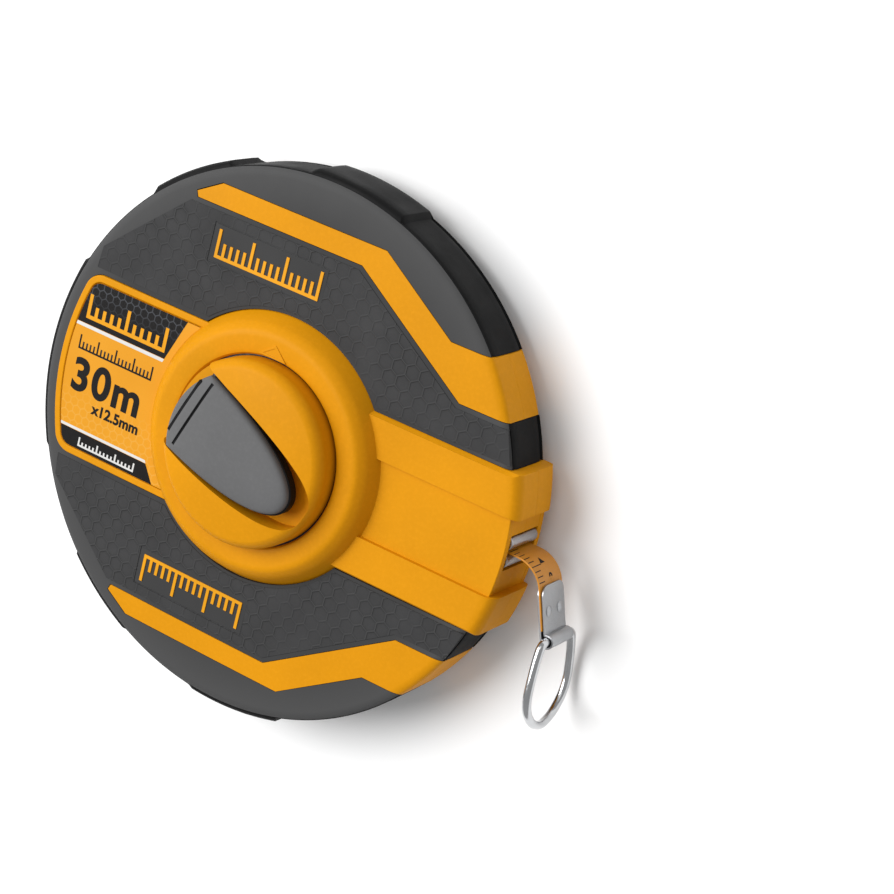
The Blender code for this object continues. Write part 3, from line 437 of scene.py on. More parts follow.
def pad_share(angle):
    """1 on a raised pad of the rim, 0 between pads, with short ramps."""
    ramp = 1.1
    for low, high in PADS:
        inside = min(angle - low, high - angle)
        if inside > -ramp:
            t = min((inside + ramp) / ramp, 1)
            return t * t * (3 - 2 * t)
    return 0.0


def case_ring(name, rows):
    """A ring whose rows are ("axis", radius, z) or ("edge", offset from the padded edge, z)."""
    loops = []
    for degree in range(360):
        edge = EDGE_R + PAD_RISE * pad_share(degree)
        a = math.radians(degree)
        loop = []
        for kind, size, z in rows:
            r = size if kind == "axis" else edge + size
            loop.append((r * math.cos(a), r * math.sin(a), z))
        loops.append(loop)
    return grid_solid(name, loops)


def middle(low, high):
    """The middle of a box, seen from above."""
    return (low[0] + high[0]) / 2, (low[1] + high[1]) / 2


def side_word(side):
    return "front" if side > 0 else "rear"


def prism(name, outline, z0, z1):
    loops = [[(x, y, z) for x, y in outline] for z in (z0, z1)]
    return grid_solid(name, loops, closed=False)


def block(name, low, high):
    outline = [(low[0], low[1]), (high[0], low[1]), (high[0], high[1]), (low[0], high[1])]
    return prism(name, outline, low[2], high[2])


def apply_modifiers(obj):
    view = bpy.context.evaluated_depsgraph_get()
    mesh = bpy.data.meshes.new_from_object(obj.evaluated_get(view))
    obj.modifiers.clear()
    obj.data = mesh
    return obj


def boolean(obj, tool, operation="DIFFERENCE"):
    step = obj.modifiers.new("join", "BOOLEAN")
    step.operation = operation
    step.solver = "EXACT"
    step.object = tool
    apply_modifiers(obj)
    bpy.data.objects.remove(tool)
    return obj


def merge(name, objects):
    """One object from several that keep their own shapes."""
    shape = bmesh.new()
    for obj in objects:
        obj.data.transform(obj.matrix_world)
        shape.from_mesh(obj.data)
        bpy.data.objects.remove(obj)
    return new_object(name, shape)


def smooth(obj, bevel=0.0, segments=3, angle=38):
    """Rounded edges and clean normals, kept as modifiers."""
    for face in obj.data.polygons:
        face.use_smooth = True
    if bevel:
        step = obj.modifiers.new("round", "BEVEL")
        step.width = bevel
        step.segments = segments
        step.limit_method = "ANGLE"
        step.angle_limit = math.radians(angle)
    else:
        mark_sharp(obj, angle)
    normals = obj.modifiers.new("normals", "WEIGHTED_NORMAL")
    normals.keep_sharp = True
    return obj


def mark_sharp(obj, angle):
    shape = bmesh.new()
    shape.from_mesh(obj.data)
    limit = math.radians(angle)
    for edge in shape.edges:
        if len(edge.link_faces) == 2 and edge.calc_face_angle(0) > limit:
            edge.smooth = False
    shape.to_mesh(obj.data)
    shape.free()


def dress(obj, look, body):
    """Material and body of a finished piece."""
    obj.data.materials.clear()
    obj.data.materials.append(MATERIALS[look])
    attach(obj, body)
    return obj


def mirror_half(obj):
    """Turns a front piece into its rear twin across the case's middle plane."""
    flip = Matrix.Translation((0, 0, 2 * MID_Z)) @ Matrix.Scale(-1, 4, (0, 0, 1))
    obj.data.transform(flip)
    obj.data.flip_normals()
    return obj


# ---------------------------------------------------------------- outlines
def arc(radius, start, end, count, centre=(0, 0)):
    points = []
    for i in range(count + 1):
        a = math.radians(start + (end - start) * i / count)
        points.append((centre[0] + radius * math.cos(a), centre[1] + radius * math.sin(a)))
    return points


def rise_angle(y, radius):
    return math.degrees(math.asin(y / radius))


def mirrored_y(points):
    return [(x, -y) for x, y in reversed(points)]


def stripe_outline(grow=0.0):
    top = [(x - grow * (0.4 if x > 0 else 1.5), y + grow) for x, y in STRIPE_TOP]
    top[0] = (STRIPE_TOP[0][0] + grow * 0.3, STRIPE_HIGH + grow)
    bottom = [(STRIPE_BOTTOM[0][0] - grow * 1.5, STRIPE_BOTTOM[0][1] - grow),
              (STRIPE_BOTTOM[1][0] - grow * 0.3, STRIPE_BOTTOM[1][1] - grow),
              (STRIPE_BOTTOM[2][0] - grow * 0.3, STRIPE_LOW - grow)]
    return [(0.09, STRIPE_LOW - grow), (0.09, STRIPE_HIGH + grow)] + top + bottom


def label_outline(shrink):
    radius = LABEL_R - shrink
    half = LABEL_HALF - shrink
    corner = LABEL_CORNER - shrink
    tip = math.degrees(math.asin((half - corner) / (radius - corner)))
    centre = (-(radius - corner) * math.cos(math.radians(tip)), half - corner)
    corner_arc = arc(corner, 90, 180 - tip, 8, centre)
    side = arc(radius, 180 - tip, 180 + tip, 16)[1:-1]
    lower = [(x, -y) for x, y in reversed(corner_arc)]
    hub_r = HUB_R - 0.0005 if shrink > 0 else HUB_R - 0.003
    reach = rise_angle(half, hub_r)
    return corner_arc + side + lower + arc(hub_r, 180 + reach, 180 - reach, 16)


def leaf_outline(half, length, fullness, count=28):
    """The leaf about its hinge: from one wide corner round the nose to the other."""
    upper = []
    for i in range(count + 1):
        a = math.radians(90 * i / count)
        upper.append((length * math.sin(a), half * max(math.cos(a), 0) ** fullness))
    return upper + [(u, -v) for u, v in reversed(upper[:-1])]


def in_crank(point):
    """From the leaf's own (u, v, w) at the hinge to the row frame."""
    turn = Matrix.Rotation(CRANK_TURN, 4, "Z")
    return turn @ Vector((point[0] + HINGE_U, point[1], 0)) + Vector((0, 0, HINGE.z + point[2]))


# ---------------------------------------------------------------- case
def crown_z(radius):
    """The face is a shallow dome: highest by the hub, lower toward the rim."""
    t = min(max((radius - HUB_R) / (EDGE_R - HUB_R), 0), 1)
    return FACE_Z + CROWN * (1 - 2.2 * t * t)


def face_rows(lift=0.0):
    """The case's outside from hub to rim, as rows for case_ring."""
    rows = [("axis", r, crown_z(r) + lift) for r in (UNDER_HUB, 0.045, 0.056, 0.064, 0.070)]
    shoulder = crown_z(EDGE_R - CHAMFER)
    for inward, drop in SHOULDER:
        rows.append(("axis", EDGE_R - inward, shoulder - drop + lift))
    return rows


def face_skin(side):
    """The soft panel, open where band, stripes, label and hub stand through it."""
    foot = crown_z(EDGE_R) - CHAMFER_DROP - 0.00035
    rows = face_rows()
    rows += [("axis", EDGE_R - 0.0006, foot), ("axis", 0.0600, SKIN_Z), ("axis", UNDER_HUB, SKIN_Z)]
    skin = case_ring("face_skin", rows)
    low, high = MID_Z, FACE_Z + 0.01
    boolean(skin, prism("t", arc(HUB_R + 0.0003, 0, 357.5, 143), low, high))
    gap = RAIL_OUT + RAIL_DRAFT + RUBBER_GAP
    boolean(skin, block("t", (0, -gap, low), (PAST_RIM, gap, high)))
    for outline in (stripe_outline(RUBBER_GAP), mirrored_y(stripe_outline(RUBBER_GAP))):
        boolean(skin, prism("t", outline, low, high))
    if side > 0:
        boolean(skin, prism("t", label_outline(-RUBBER_GAP), low, high))
    else:
        mirror_half(skin)
        for number in range(1, CASE_SCREWS + 1):
            hole = arc(0.0024, 0, 350, 35, middle(*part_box(f"case_screw_{number}")))
            boolean(skin, prism("t", hole, 0, MID_Z))
    word = side_word(side)
    skin.name = f"{word}_face"
    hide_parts(f"{word}_skin")
    smooth(skin, 0.00016, 2, 50)
    dress(skin, "grey" if side > 0 else "rear_grey", "case")


def rim_rubber():
    """The black rim in three lengths, with its pads and a chamfer on each edge."""
    top = crown_z(EDGE_R - CHAMFER) - CHAMFER_DROP
    low = 2 * MID_Z - top
    inner = EDGE_R - 0.0015
    side = [("axis", EDGE_R + 0.0001, top - 0.0001), ("edge", -0.0006, top - 0.0006),
            ("edge", 0, top - 0.0016), ("edge", 0.0001, MID_Z + 0.0040)]
    rows = side + [(kind, size, 2 * MID_Z - z) for kind, size, z in reversed(side)]
    rows += [("axis", inner, low), ("axis", inner, top)]
    ring = case_ring("rim", rows)
    wide = RAIL_OUT + RAIL_DRAFT + RUBBER_GAP
    low, high = 0, FACE_Z + 0.01
    boolean(ring, block("t", (0, -wide, low), (PAST_RIM, wide, high)))
    for sign in (1, -1):
        y0, y1 = sorted((sign * (STRIPE_LOW - RUBBER_GAP), sign * (STRIPE_HIGH + RUBBER_GAP)))
        boolean(ring, block("t", (0.03, y0, low), (PAST_RIM, y1, high)))
    longest, *shorts = split_loose(ring)
    shorts.sort(key=lambda obj: -sum(v.co.y for v in obj.data.vertices))
    for obj, node in zip([longest] + shorts, ("rim_bumper", "upper_bumper", "lower_bumper")):
        obj.name = node.replace("bumper", "rubber")
        smooth(obj, 0.00035, 3, 35)
        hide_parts(node)
        dress(obj, "black", "case")


def split_loose(obj):
    """Separate objects for the loose parts of one, the largest first."""
    shape = bmesh.new()
    shape.from_mesh(obj.data)
    seen = set()
    groups = []
    for first in shape.faces:
        if first in seen:
            continue
        seen.add(first)
        group = [first]
        for face in group:
            around = [other for edge in face.edges for other in edge.link_faces if other not in seen]
            seen.update(around)
            group.extend(dict.fromkeys(around))
        groups.append(group)
    made = []
    for group in sorted(groups, key=len, reverse=True):
        piece = bmesh.new()
        copies = {}
        for face in group:
            for vert in face.verts:
                if vert not in copies:
                    copies[vert] = piece.verts.new(vert.co)
            piece.faces.new([copies[vert] for vert in face.verts])
        made.append(new_object(f"{obj.name}_{len(made)}", piece))
    shape.free()
    bpy.data.objects.remove(obj)
    return made


def stripes(side):
    """Orange stripes flush with the face, which wrap over the rim to the seam."""
    halves = []
    for outline in (stripe_outline(), mirrored_y(stripe_outline())):
        rows = face_rows(0.00004)
        rows += [("axis", EDGE_R + 0.0001, crown_z(EDGE_R) - CHAMFER_DROP - 0.0006),
                 ("axis", EDGE_R + 0.0001, MID_Z + SEAM),
                 ("axis", STRIPE_IN, MID_Z + SEAM), ("axis", STRIPE_IN, SKIN_Z - 0.0005),
                 ("axis", UNDER_HUB, SKIN_Z - 0.0005)]
        solid = case_ring("stripe", rows)
        halves.append(boolean(solid, prism("t", outline, 0, FACE_Z + 0.01), "INTERSECT"))
    pair = merge("stripes", halves)
    return finish_shell_piece(pair, side, "stripes", 0.00005)


def finish_shell_piece(obj, side, word, bevel):
    if side < 0:
        mirror_half(obj)
    obj.name = f"{side_word(side)}_{word}"
    smooth(obj, bevel, 3, 34)
    return dress(obj, "orange", "case")


def rails(side):
    """Two raised rails from the hub to the mouth, turned down over the rim."""
    top = FACE_Z + RAIL_RISE
    profile = [(UNDER_HUB, top), (0.0758, top)]
    for step in range(1, 7):
        a = math.radians(15 * step)
        profile.append((RAIL_R - RAIL_ROUND * (1 - math.sin(a)), top - RAIL_ROUND * (1 - math.cos(a))))
    profile += [(RAIL_R, MID_Z + SEAM), (WALL_IN, MID_Z + SEAM), (WALL_IN, PANEL_Z), (UNDER_HUB, PANEL_Z)]
    halves = []
    for sign in (1, -1):
        solid = lathe("rail", profile, 240)
        wide, narrow = RAIL_OUT + RAIL_DRAFT, RAIL_IN - 0.0002
        section = [(RAIL_IN, top + 0.001), (RAIL_OUT, top + 0.001), (RAIL_OUT, top - 0.0001),
                   (wide, FACE_Z - 0.0002), (wide, 0), (narrow, 0), (narrow, FACE_Z), (RAIL_IN, top - 0.0002)]
        loops = [[(x, sign * y, z) for y, z in section] for x in (0.0290, 0.0900)]
        halves.append(boolean(solid, grid_solid("t", loops, closed=False), "INTERSECT"))
    return finish_shell_piece(merge("rails", halves), side, "rails", 0.00065)


def mouth_panel(side):
    """The flat panel between the rails, whose end is the lip over the mouth."""
    top = crown_z(0.060) + 0.0001
    low = PANEL_Z + 0.0001
    profile = [(UNDER_HUB, top), (LIP_R, top), (LIP_R, low), (UNDER_HUB, low)]
    solid = lathe("panel", profile, 240)
    boolean(solid, block("t", (0.0290, -RAIL_IN - 0.0001, 0), (0.09, RAIL_IN + 0.0001, 0.03)), "INTERSECT")
    return finish_shell_piece(solid, side, "mouth_panel", 0.00030)


def mouth_wall(side):
    """The rim wall behind the rollers, with the slot that the tape comes through."""
    top = crown_z(0.060) - 0.0006
    outer = LIP_R - 0.0001
    profile = [(outer, top), (outer, MID_Z + SEAM), (WALL_IN, MID_Z + SEAM), (WALL_IN, top)]
    solid = lathe("wall", profile, 240)
    boolean(solid, block("t", (0.050, -RAIL_IN - 0.001, 0), (0.09, RAIL_IN + 0.001, 0.03)), "INTERSECT")
    low, high = LOWER_ROLLER_LOW[1] - 0.0005, ROLLER_HIGH[1] + 0.0005
    boolean(solid, block("t", (0.060, low, 0), (0.09, high, ROLLER_HIGH[2] + 0.0003)))
    return finish_shell_piece(solid, side, "mouth_wall", 0.0002)


def hub_profile():
    """The front hub: sloped wall, rounded shoulder and a wide flat ring round the cap."""
    base = FACE_Z - 0.0006
    rows = [(HUB_R + 0.0006, base - 0.0008), (HUB_R + 0.0001, base + 0.0002),
            (HUB_R - 0.0008, FACE_Z + 0.0008)]
    for inward, drop in HUB_CURVE:
        rows.append((HUB_R - inward, HUB_Z - drop))
    rows += [(0.0282, HUB_Z - 0.00010),
             (0.0272, HUB_Z - 0.00035), (0.02675, HUB_Z - 0.0009), (0.02665, HUB_Z - 0.0016),
             (HUB_IN, HUB_Z - 0.0022), (HUB_IN, MID_Z + 0.0075)]
    return rows


def front_hub():
    hub = lathe("front_hub", list(reversed(hub_profile())), 192)
    smooth(hub, 0, angle=30)
    dress(hub, "orange", "case")
    mark = [(-0.0052, 0.0271), (0.0040, 0.0271), (-0.0002, 0.0309)]
    inner = [(-0.0036, 0.0277), (0.0025, 0.0277), (-0.0003, 0.0300)]
    arrow = prism("turn_arrow", mark, HUB_Z - 0.0012, HUB_Z + 0.00016)
    boolean(arrow, prism("t", inner, HUB_Z + 0.00002, HUB_Z + 0.001))
    smooth(arrow, 0.00007, 2)
    dress(arrow, "orange", "case")


def rear_hub():
    """The rear foot: a flat disc with a groove, which the case lies on."""
    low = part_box("rear_shell")[0][2]
    base = 2 * MID_Z - FACE_Z
    profile = [(0, low + 0.0016), (HUB_IN, low + 0.0016), (HUB_IN, base + 0.002),
               (HUB_R + 0.0006, base + 0.0014),
               (HUB_R + 0.0001, base + 0.0004), (HUB_R - 0.0010, base - 0.0009), (0.0347, low + 0.0011),
               (0.0342, low + 0.0005), (0.0334, low + 0.0001), (0.0326, low), (0.0274, low),
               (0.0270, low + 0.0003), (0.0266, low + 0.0006), (0.0262, low + 0.0003), (0.0258, low),
               (0.0130, low), (0.0128, low + 0.0002), (0.0122, low + 0.0002), (0.0120, low), (0, low)]
    hub = knob("rear_hub", profile, 192)
    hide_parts("rear_shell")
    smooth(hub, 0, angle=30)
    dress(hub, "orange", "case")


def label_frame():
    """The raised border round the label; this piece also stands for the CAD front shell."""
    top = FACE_Z + 0.00055
    solid = prism("label_frame", label_outline(0), SKIN_Z - 0.0003, top)
    boolean(solid, prism("t", label_outline(LABEL_BORDER), top - 0.0008, top + 0.01))
    smooth(solid, 0.00045, 4)
    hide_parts("front_shell")
    dress(solid, "orange", "case")


def ticks(origin, length, height, count, z, depth, look, name, flip=False):
    """A row of rule marks, every fifth one taller, as the generic mark of a tape measure."""
    step = length / (count - 1)
    way = -1 if flip else 1
    thick = step * TICK_WIDTH
    x0, x1 = sorted((origin[0] - way * thick / 2, origin[0] + way * (length + thick / 2)))
    y0, y1 = sorted((origin[1], origin[1] + way * thick))
    row = block(name, (x0, y0, z - depth), (x1, y1, z))
    pieces = []
    for i in range(count):
        tall = height if i % 5 == 0 else height * SHORT_TICK
        x = origin[0] + way * i * step
        low, high = sorted((origin[1] + way * thick / 2, origin[1] + way * tall))
        pieces.append(block("tick", (x - thick / 2, low, z - depth), (x + thick / 2, high, z)))
    boolean(row, merge("teeth", pieces), "UNION")
    smooth(row, depth * 0.2, 2)
    return dress(row, look, "case")


def words(name, text, size, origin, z, weight=0.0, spacing=1.0):
    """Printed figures from Blender's own font."""
    curve = bpy.data.curves.new(name, "FONT")
    curve.body = text
    curve.size = size
    curve.extrude = 0.00001
    curve.offset = weight
    curve.space_character = spacing
    curve.align_x = "LEFT"
    made = bpy.data.objects.new(name, curve)
    bpy.context.scene.collection.objects.link(made)
    view = bpy.context.evaluated_depsgraph_get()
    mesh = bpy.data.meshes.new_from_object(made.evaluated_get(view))
    bpy.data.objects.remove(made)
    obj = bpy.data.objects.new(name, mesh)
    bpy.context.scene.collection.objects.link(obj)
    mesh.transform(Matrix.Translation((origin[0], origin[1], z)))
    return obj


def clip_to_label(name, low, high, slant, z0, z1, look):
    """The part of the label between two heights, its hub end cut at a slant."""
    solid = prism(name, label_outline(LABEL_BORDER + 0.0003), z0, z1)
    right_low, right_high = slant
    outline = [(-PAST_RIM, low), (right_low, low), (right_high, high), (-PAST_RIM, high)]
    boolean(solid, prism("t", outline, z0 - 0.01, z1 + 0.01), "INTERSECT")
    smooth(solid, 0)
    return dress(solid, look, "case")


def label_print():
    """The printed label: black header and footer, pale rules, and generic figures only."""
    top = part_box("label")[1][2]
    base = prism("label_sheet", label_outline(LABEL_BORDER + 0.0003), top - 0.0004, top)
    smooth(base, 0.00006, 2)
    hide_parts("label")
    dress(base, "paper", "case")
    ink = top + 0.00002
    for name, low, high, slant, look in (("label_header", 0.0118, 0.0254, (-0.0378, -0.0325), "header"),
                                         ("label_rule_top", 0.0107, 0.0117, (-0.0382, -0.0378), "white"),
                                         ("label_rule_low", -0.0194, -0.0186, (-0.0362, -0.0366), "white"),
                                         ("label_footer", -0.0254, -0.0195, (-0.0322, -0.0362), "ink")):
        clip_to_label(name, low, high, slant, top - 0.0001, ink, look)
    mark_z = ink + 0.00002
    for start, length, height, count, look, name in (
            ((-0.0660, 0.0134), 0.0272, 0.0072, 11, "mark", "header_marks"),
            ((-0.0600, -0.0237), 0.0200, 0.0027, 16, "white", "footer_marks"),
            ((-0.0668, 0.0040), 0.0260, 0.0042, 21, "ink", "scale_marks")):
        ticks(start, length, height, count, mark_z, 0.00004, look, name)
    large = words("length_figures", "30m", 0.0133, (-0.0674, -0.0078), mark_z, 0.00042, 1.12)
    small = words("width_figures", "x12.5mm", 0.0044, (-0.0579, -0.0127), mark_z, 0.00016, 1.02)
    for figures in (large, small):
        dress(figures, "ink", "case")


def hex_panel(sign, name):
    """The grip panel between stripe and hub, a hair above the face, with rounded edges."""
    top = [(-0.0410, 0.0576), (0.0154, 0.0576), (0.0532, 0.0331), (0.0694, 0.0331)]
    edge = [(0.0726, 0.0243)]
    hub = arc(0.0392, rise_angle(0.0243, 0.0392), 180 - rise_angle(0.0286, 0.0392), 32)
    left = [(-0.0668, 0.0286), (-0.0662, 0.0350)]
    outline = top + edge + hub + left
    if sign < 0:
        outline = mirrored_y(outline)
    tall = crown_z(UNDER_HUB) + RUBBER_GAP
    solid = prism(name, outline, SKIN_Z, tall)
    for vert in solid.data.vertices:
        if vert.co.z > FACE_Z - 0.0002:
            vert.co.z = tall
    hollow = [(-0.0315, 0.0433), (0.0072, 0.0433), (0.0072, 0.0547), (-0.0315, 0.0547)]
    if sign < 0:
        hollow = mirrored_y(hollow)
    lid = prism("t", hollow, tall - 0.00016, tall + 0.01)
    boolean(solid, lid)
    drape(solid)
    smooth(solid, 0.00010, 2, 50)
    dress(solid, "hex", "case")
    plate_z = crown_z(0.050) + 0.00004
    low = min(y for _, y in hollow) + 0.0004
    high = max(y for _, y in hollow) - 0.0004
    flat = block(f"{name}_plate", (-0.0311, low, SKIN_Z), (0.0068, high, plate_z))
    smooth(flat, 0.00012, 2)
    dress(flat, "grey", "case")
    start = (-0.0290, 0.0450) if sign > 0 else (0.0048, -0.0450)
    ticks(start, 0.0340, 0.0082, 16, plate_z + 0.00025, 0.0004, "mark",
          f"{name}_marks", sign < 0)


def shorten_edges(shape, limit, rounds):
    """Cuts edges longer than the limit in half, and again, so that the shape can bend."""
    for _ in range(rounds):
        long_edges = [edge for edge in shape.edges if edge.calc_length() > limit]
        bmesh.ops.subdivide_edges(shape, edges=long_edges, cuts=1)
        bmesh.ops.triangulate(shape, faces=shape.faces[:])


def drape(obj):
    """Lets a flat panel's top follow the face's shallow dome."""
    cuts = obj.modifiers.new("cuts", "TRIANGULATE")
    cuts.min_vertices = 5
    apply_modifiers(obj)
    shape = bmesh.new()
    shape.from_mesh(obj.data)
    shorten_edges(shape, 0.006, 3)
    for vert in shape.verts:
        if vert.co.z > SKIN_Z + 0.0002:
            radius = math.hypot(vert.co.x, vert.co.y)
            vert.co.z += crown_z(radius) - crown_z(UNDER_HUB)
    shape.to_mesh(obj.data)
    shape.free()


# ---------------------------------------------------------------- crank
def cap():
    """The crank cap: a thick turned disc with the leaf's pocket sunk into it."""
    top = CAP_HIGH[2]
    low = CAP_LOW[2]
    profile = [(0, low), (CAP_R - 0.0002, low), (CAP_R, low + 0.0002), (CAP_R, top - CAP_EDGE)]
    for step in range(1, 9):
        a = math.radians(9.2 * step)
        profile.append((CAP_R - CAP_ROUND * (1 - math.cos(a)), top - CAP_EDGE + CAP_ROUND * math.sin(a)))
    profile += [(0.0185, top - 0.00085), (0.0130, top - 0.0004), (0.0060, top - 0.0001), (0, top)]
    body = knob("cap", profile, 192)
    outline = mirrored_leaf()
    outline = [(-0.012, outline[0][1])] + outline + [(-0.012, outline[-1][1])]
    boolean(body, crank_solid("t", outline, ((1, -POCKET_DEPTH), (1, top + 0.01 - HINGE.z))))
    smooth(body, 0.00040, 3, 32)
    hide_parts("crank_cap")
    dress(body, "orange", "crank")


def crank_solid(name, outline, levels):
    """A solid over an outline in the leaf's own plane; each level is (scale about its middle, height)."""
    loops = []
    for scale, z in levels:
        loops.append([in_crank((LEAF_MIDDLE + (u - LEAF_MIDDLE) * scale, v * scale, z)) for u, v in outline])
    return grid_solid(name, loops, closed=False)


def mirrored_leaf():
    """The pocket's outline from its lower wide corner round the nose to the upper one."""
    half = LEAF_HALF + 0.0004
    length = LEAF_LENGTH + 0.0037
    points = leaf_outline(half, length, 0.64, 48)
    return [(u, v - POCKET_SHIFT + 1.6 * POCKET_SHIFT * u / length) for u, v in reversed(points)]


def leaf():
    """The folding handle: a smooth domed leaf with a flat grooved tail over the hinge. The black skirt under
    its edge and the black strips in its grooves are painted shadow.
    """
    end_r = -HINGE_U + 0.0041
    corner = math.degrees(math.asin(LEAF_HALF / math.hypot(LEAF_HALF, HINGE_U)))
    tail = [(x - HINGE_U, y) for x, y in arc(end_r, 180 + corner - 5, 180 - corner + 5, 16)]
    outline = leaf_outline(LEAF_HALF - 0.0003, LEAF_LENGTH - 0.0012, 0.92, 40) + tail
    outline = [(u - LEAF_BACK, v - LEAF_ASIDE) for u, v in outline]
    top = LEAF_HIGH[2] - HINGE.z
    low = LEAF_LOW[2] - HINGE.z
    rings = ((0.97, low), (1.0, low + 0.0005), (1.0, top - 0.0021), (0.995, top - 0.0016),
             (0.98, top - 0.0011), (0.95, top - 0.0007), (0.90, top - 0.00038), (0.80, top - 0.0001),
             (0.65, top + 0.0001), (0.45, top + 0.0002), (0.22, top + 0.00024))
    body = crank_solid("leaf", outline, rings)
    # Painted shadow: a black skirt a little wider than the leaf, standing for the dark gap round it.
    skirt = leaf_outline(LEAF_HALF - 0.0001, LEAF_LENGTH - 0.0007, 0.90, 40) + tail
    skirt = [(u - LEAF_BACK, v - LEAF_ASIDE) for u, v in skirt]
    edge = crank_solid("leaf_shadow_skirt", skirt, ((1, low + 0.0004), (1, top - 0.0024)))
    smooth(edge, 0.0002, 2)
    dress(edge, "groove", "handle")
    for u, half in ((-0.0020, 0.0092), (0.0016, 0.0112)):
        slot = block("t", (u - 0.00045, -half, top - 0.0016), (u + 0.00045, half, top + 0.01))
        slot.data.transform(crank_matrix())
        boolean(body, slot)
        # Painted shadow: a black strip at the bottom of each groove.
        strip = block(f"leaf_line_{1 if u < 0 else 2}", (u - 0.00047, -half + 0.0001, top - 0.0022),
                      (u + 0.00047, half - 0.0001, top - 0.0005))
        strip.data.transform(crank_matrix())
        smooth(strip, 0.0001, 2)
        dress(strip, "groove", "handle")
    smooth(body, 0, angle=42)
    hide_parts("crank_handle")
    dress(body, "handle", "handle")


def hinge_pin():
    """The leaf's hinge pin, from wall to wall of the pocket."""
    low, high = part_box("handle_pin")
    half = LEAF_HALF + 0.0009
    section = arc((high[2] - low[2]) / 2, 0, 345, 23)
    loops = [[in_crank((u, v, w)) for u, w in section] for v in (-half, half)]
    made = grid_solid("hinge_pin", loops, closed=False)
    smooth(made, 0, angle=40)
    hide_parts("handle_pin")
    # Darkened steel, painted shade in the pocket.
    dress(made, "shade_dark_steel", "crank")


def crank_matrix():
    turn = Matrix.Rotation(CRANK_TURN, 4, "Z")
    return turn @ Matrix.Translation((HINGE_U, 0, HINGE.z))


# ---------------------------------------------------------------- rollers, tape and clip
def roller(word, low, high):
    z0, z1 = low[2], high[2]
    bore = 0.0010
    half = [(bore, 0), (ROLLER_R - 0.0003, 0), (ROLLER_R - 0.00008, 0.0001), (ROLLER_R, 0.0004)]
    profile = [(r, z0 + rise) for r, rise in half] + [(r, z1 - rise) for r, rise in reversed(half)]
    made = lathe(f"{word}_mouth_roller", profile, 64, middle(low, high))
    smooth(made, 0, angle=40)
    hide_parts(f"{word}_roller")
    dress(made, "steel", f"roller_{word}")


def lead_point(distance, offset, z):
    """A place on the tape lead: along it from the rollers, out from its middle, and up."""
    straight = CURL_X - ROLLER_X
    bend = CURL_R * CURL_TURN
    if distance < straight:
        return (ROLLER_X + distance, TAPE_Y + offset, z)
    a = min((distance - straight) / CURL_R, CURL_TURN)
    x = CURL_X + (CURL_R + offset) * math.sin(a)
    y = TAPE_Y - CURL_R + (CURL_R + offset) * math.cos(a)
    rest = distance - straight - bend
    if rest > 0:
        x += rest * math.cos(CURL_TURN)
        y -= rest * math.sin(CURL_TURN)
    return (x, y, z)


def ribbon(name, start, end, offset, thickness, z0, z1, step=0.0006):
    """A bent strip that lies along the tape lead between two distances."""
    count = max(int((end - start) / step), 2)
    loops = []
    for i in range(count + 1):
        d = start + (end - start) * i / count
        loops.append([lead_point(d, offset - thickness / 2, z0), lead_point(d, offset + thickness / 2, z0),
                      lead_point(d, offset + thickness / 2, z1), lead_point(d, offset - thickness / 2, z1)])
    return grid_solid(name, loops, closed=False)


def tape():
    low, high = MID_Z - TAPE_W / 2, MID_Z + TAPE_W / 2
    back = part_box("tape_lead")[0][0] - ROLLER_X
    end = CURL_X - ROLLER_X + CURL_R * CURL_TURN + 0.0110
    strip = ribbon("tape_strip", back, end, 0, TAPE_T, low, high)
    smooth(strip, 0.00008, 2)
    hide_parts("tape_lead")
    dress(strip, "tape", "lead")
    marks = []
    face = TAPE_T / 2 + 0.00001
    plate_start = CURL_X - ROLLER_X + CURL_R * CURL_TURN + 0.0004
    first = back + 0.0006
    for i in range(int((plate_start - first) / MARK_STEP)):
        d = first + i * MARK_STEP
        reach = 0.0050 if i % 5 == 0 else 0.0032
        marks.append(ribbon("m", d, d + 0.00026, face, 0.00004, high - reach, high - 0.0003, 0.0001))
    inks = merge("tape_marks", marks)
    dress(inks, "ink", "lead")
    tape_figures(face, high)


def tape_figures(face, high):
    """A graduation figure and an arrow, bent to lie on the curl."""
    figure = words("tape_numerals", "9", 0.0034, (0, 0), 0, 0.00010)
    shape = bmesh.new()
    shape.from_mesh(figure.data)
    shorten_edges(shape, 0.0004, 4)
    for vert in shape.verts:
        across, along = vert.co.x, vert.co.y
        lift = face + 0.00003 + (0.00001 if vert.co.z > 0 else -0.00001)
        vert.co = Vector(lead_point(FIGURE_AT - along, lift, high - 0.0078 + across))
    bmesh.ops.recalc_face_normals(shape, faces=shape.faces)
    shape.to_mesh(figure.data)
    shape.free()
    dress(figure, "ink", "lead")
    shape = bmesh.new()
    rows = []
    for lift in (face, face + 0.00008):
        rows.append([shape.verts.new(lead_point(d, lift, high - 0.0062 + w)) for d, w in ARROW])
    shape.faces.new(rows[0])
    shape.faces.new(rows[1])
    for i in range(3):
        j = (i + 1) % 3
        shape.faces.new((rows[0][i], rows[0][j], rows[1][j], rows[1][i]))
    dress(new_object("tape_arrow", shape), "ink", "lead")


def clip_frame():
    end = Vector((CURL_X + CURL_R * math.sin(CURL_TURN), TAPE_Y - CURL_R * (1 - math.cos(CURL_TURN))))
    along = Vector((math.cos(CURL_TURN), -math.sin(CURL_TURN)))
    outward = Vector((math.sin(CURL_TURN), math.cos(CURL_TURN)))
    return end, along, outward


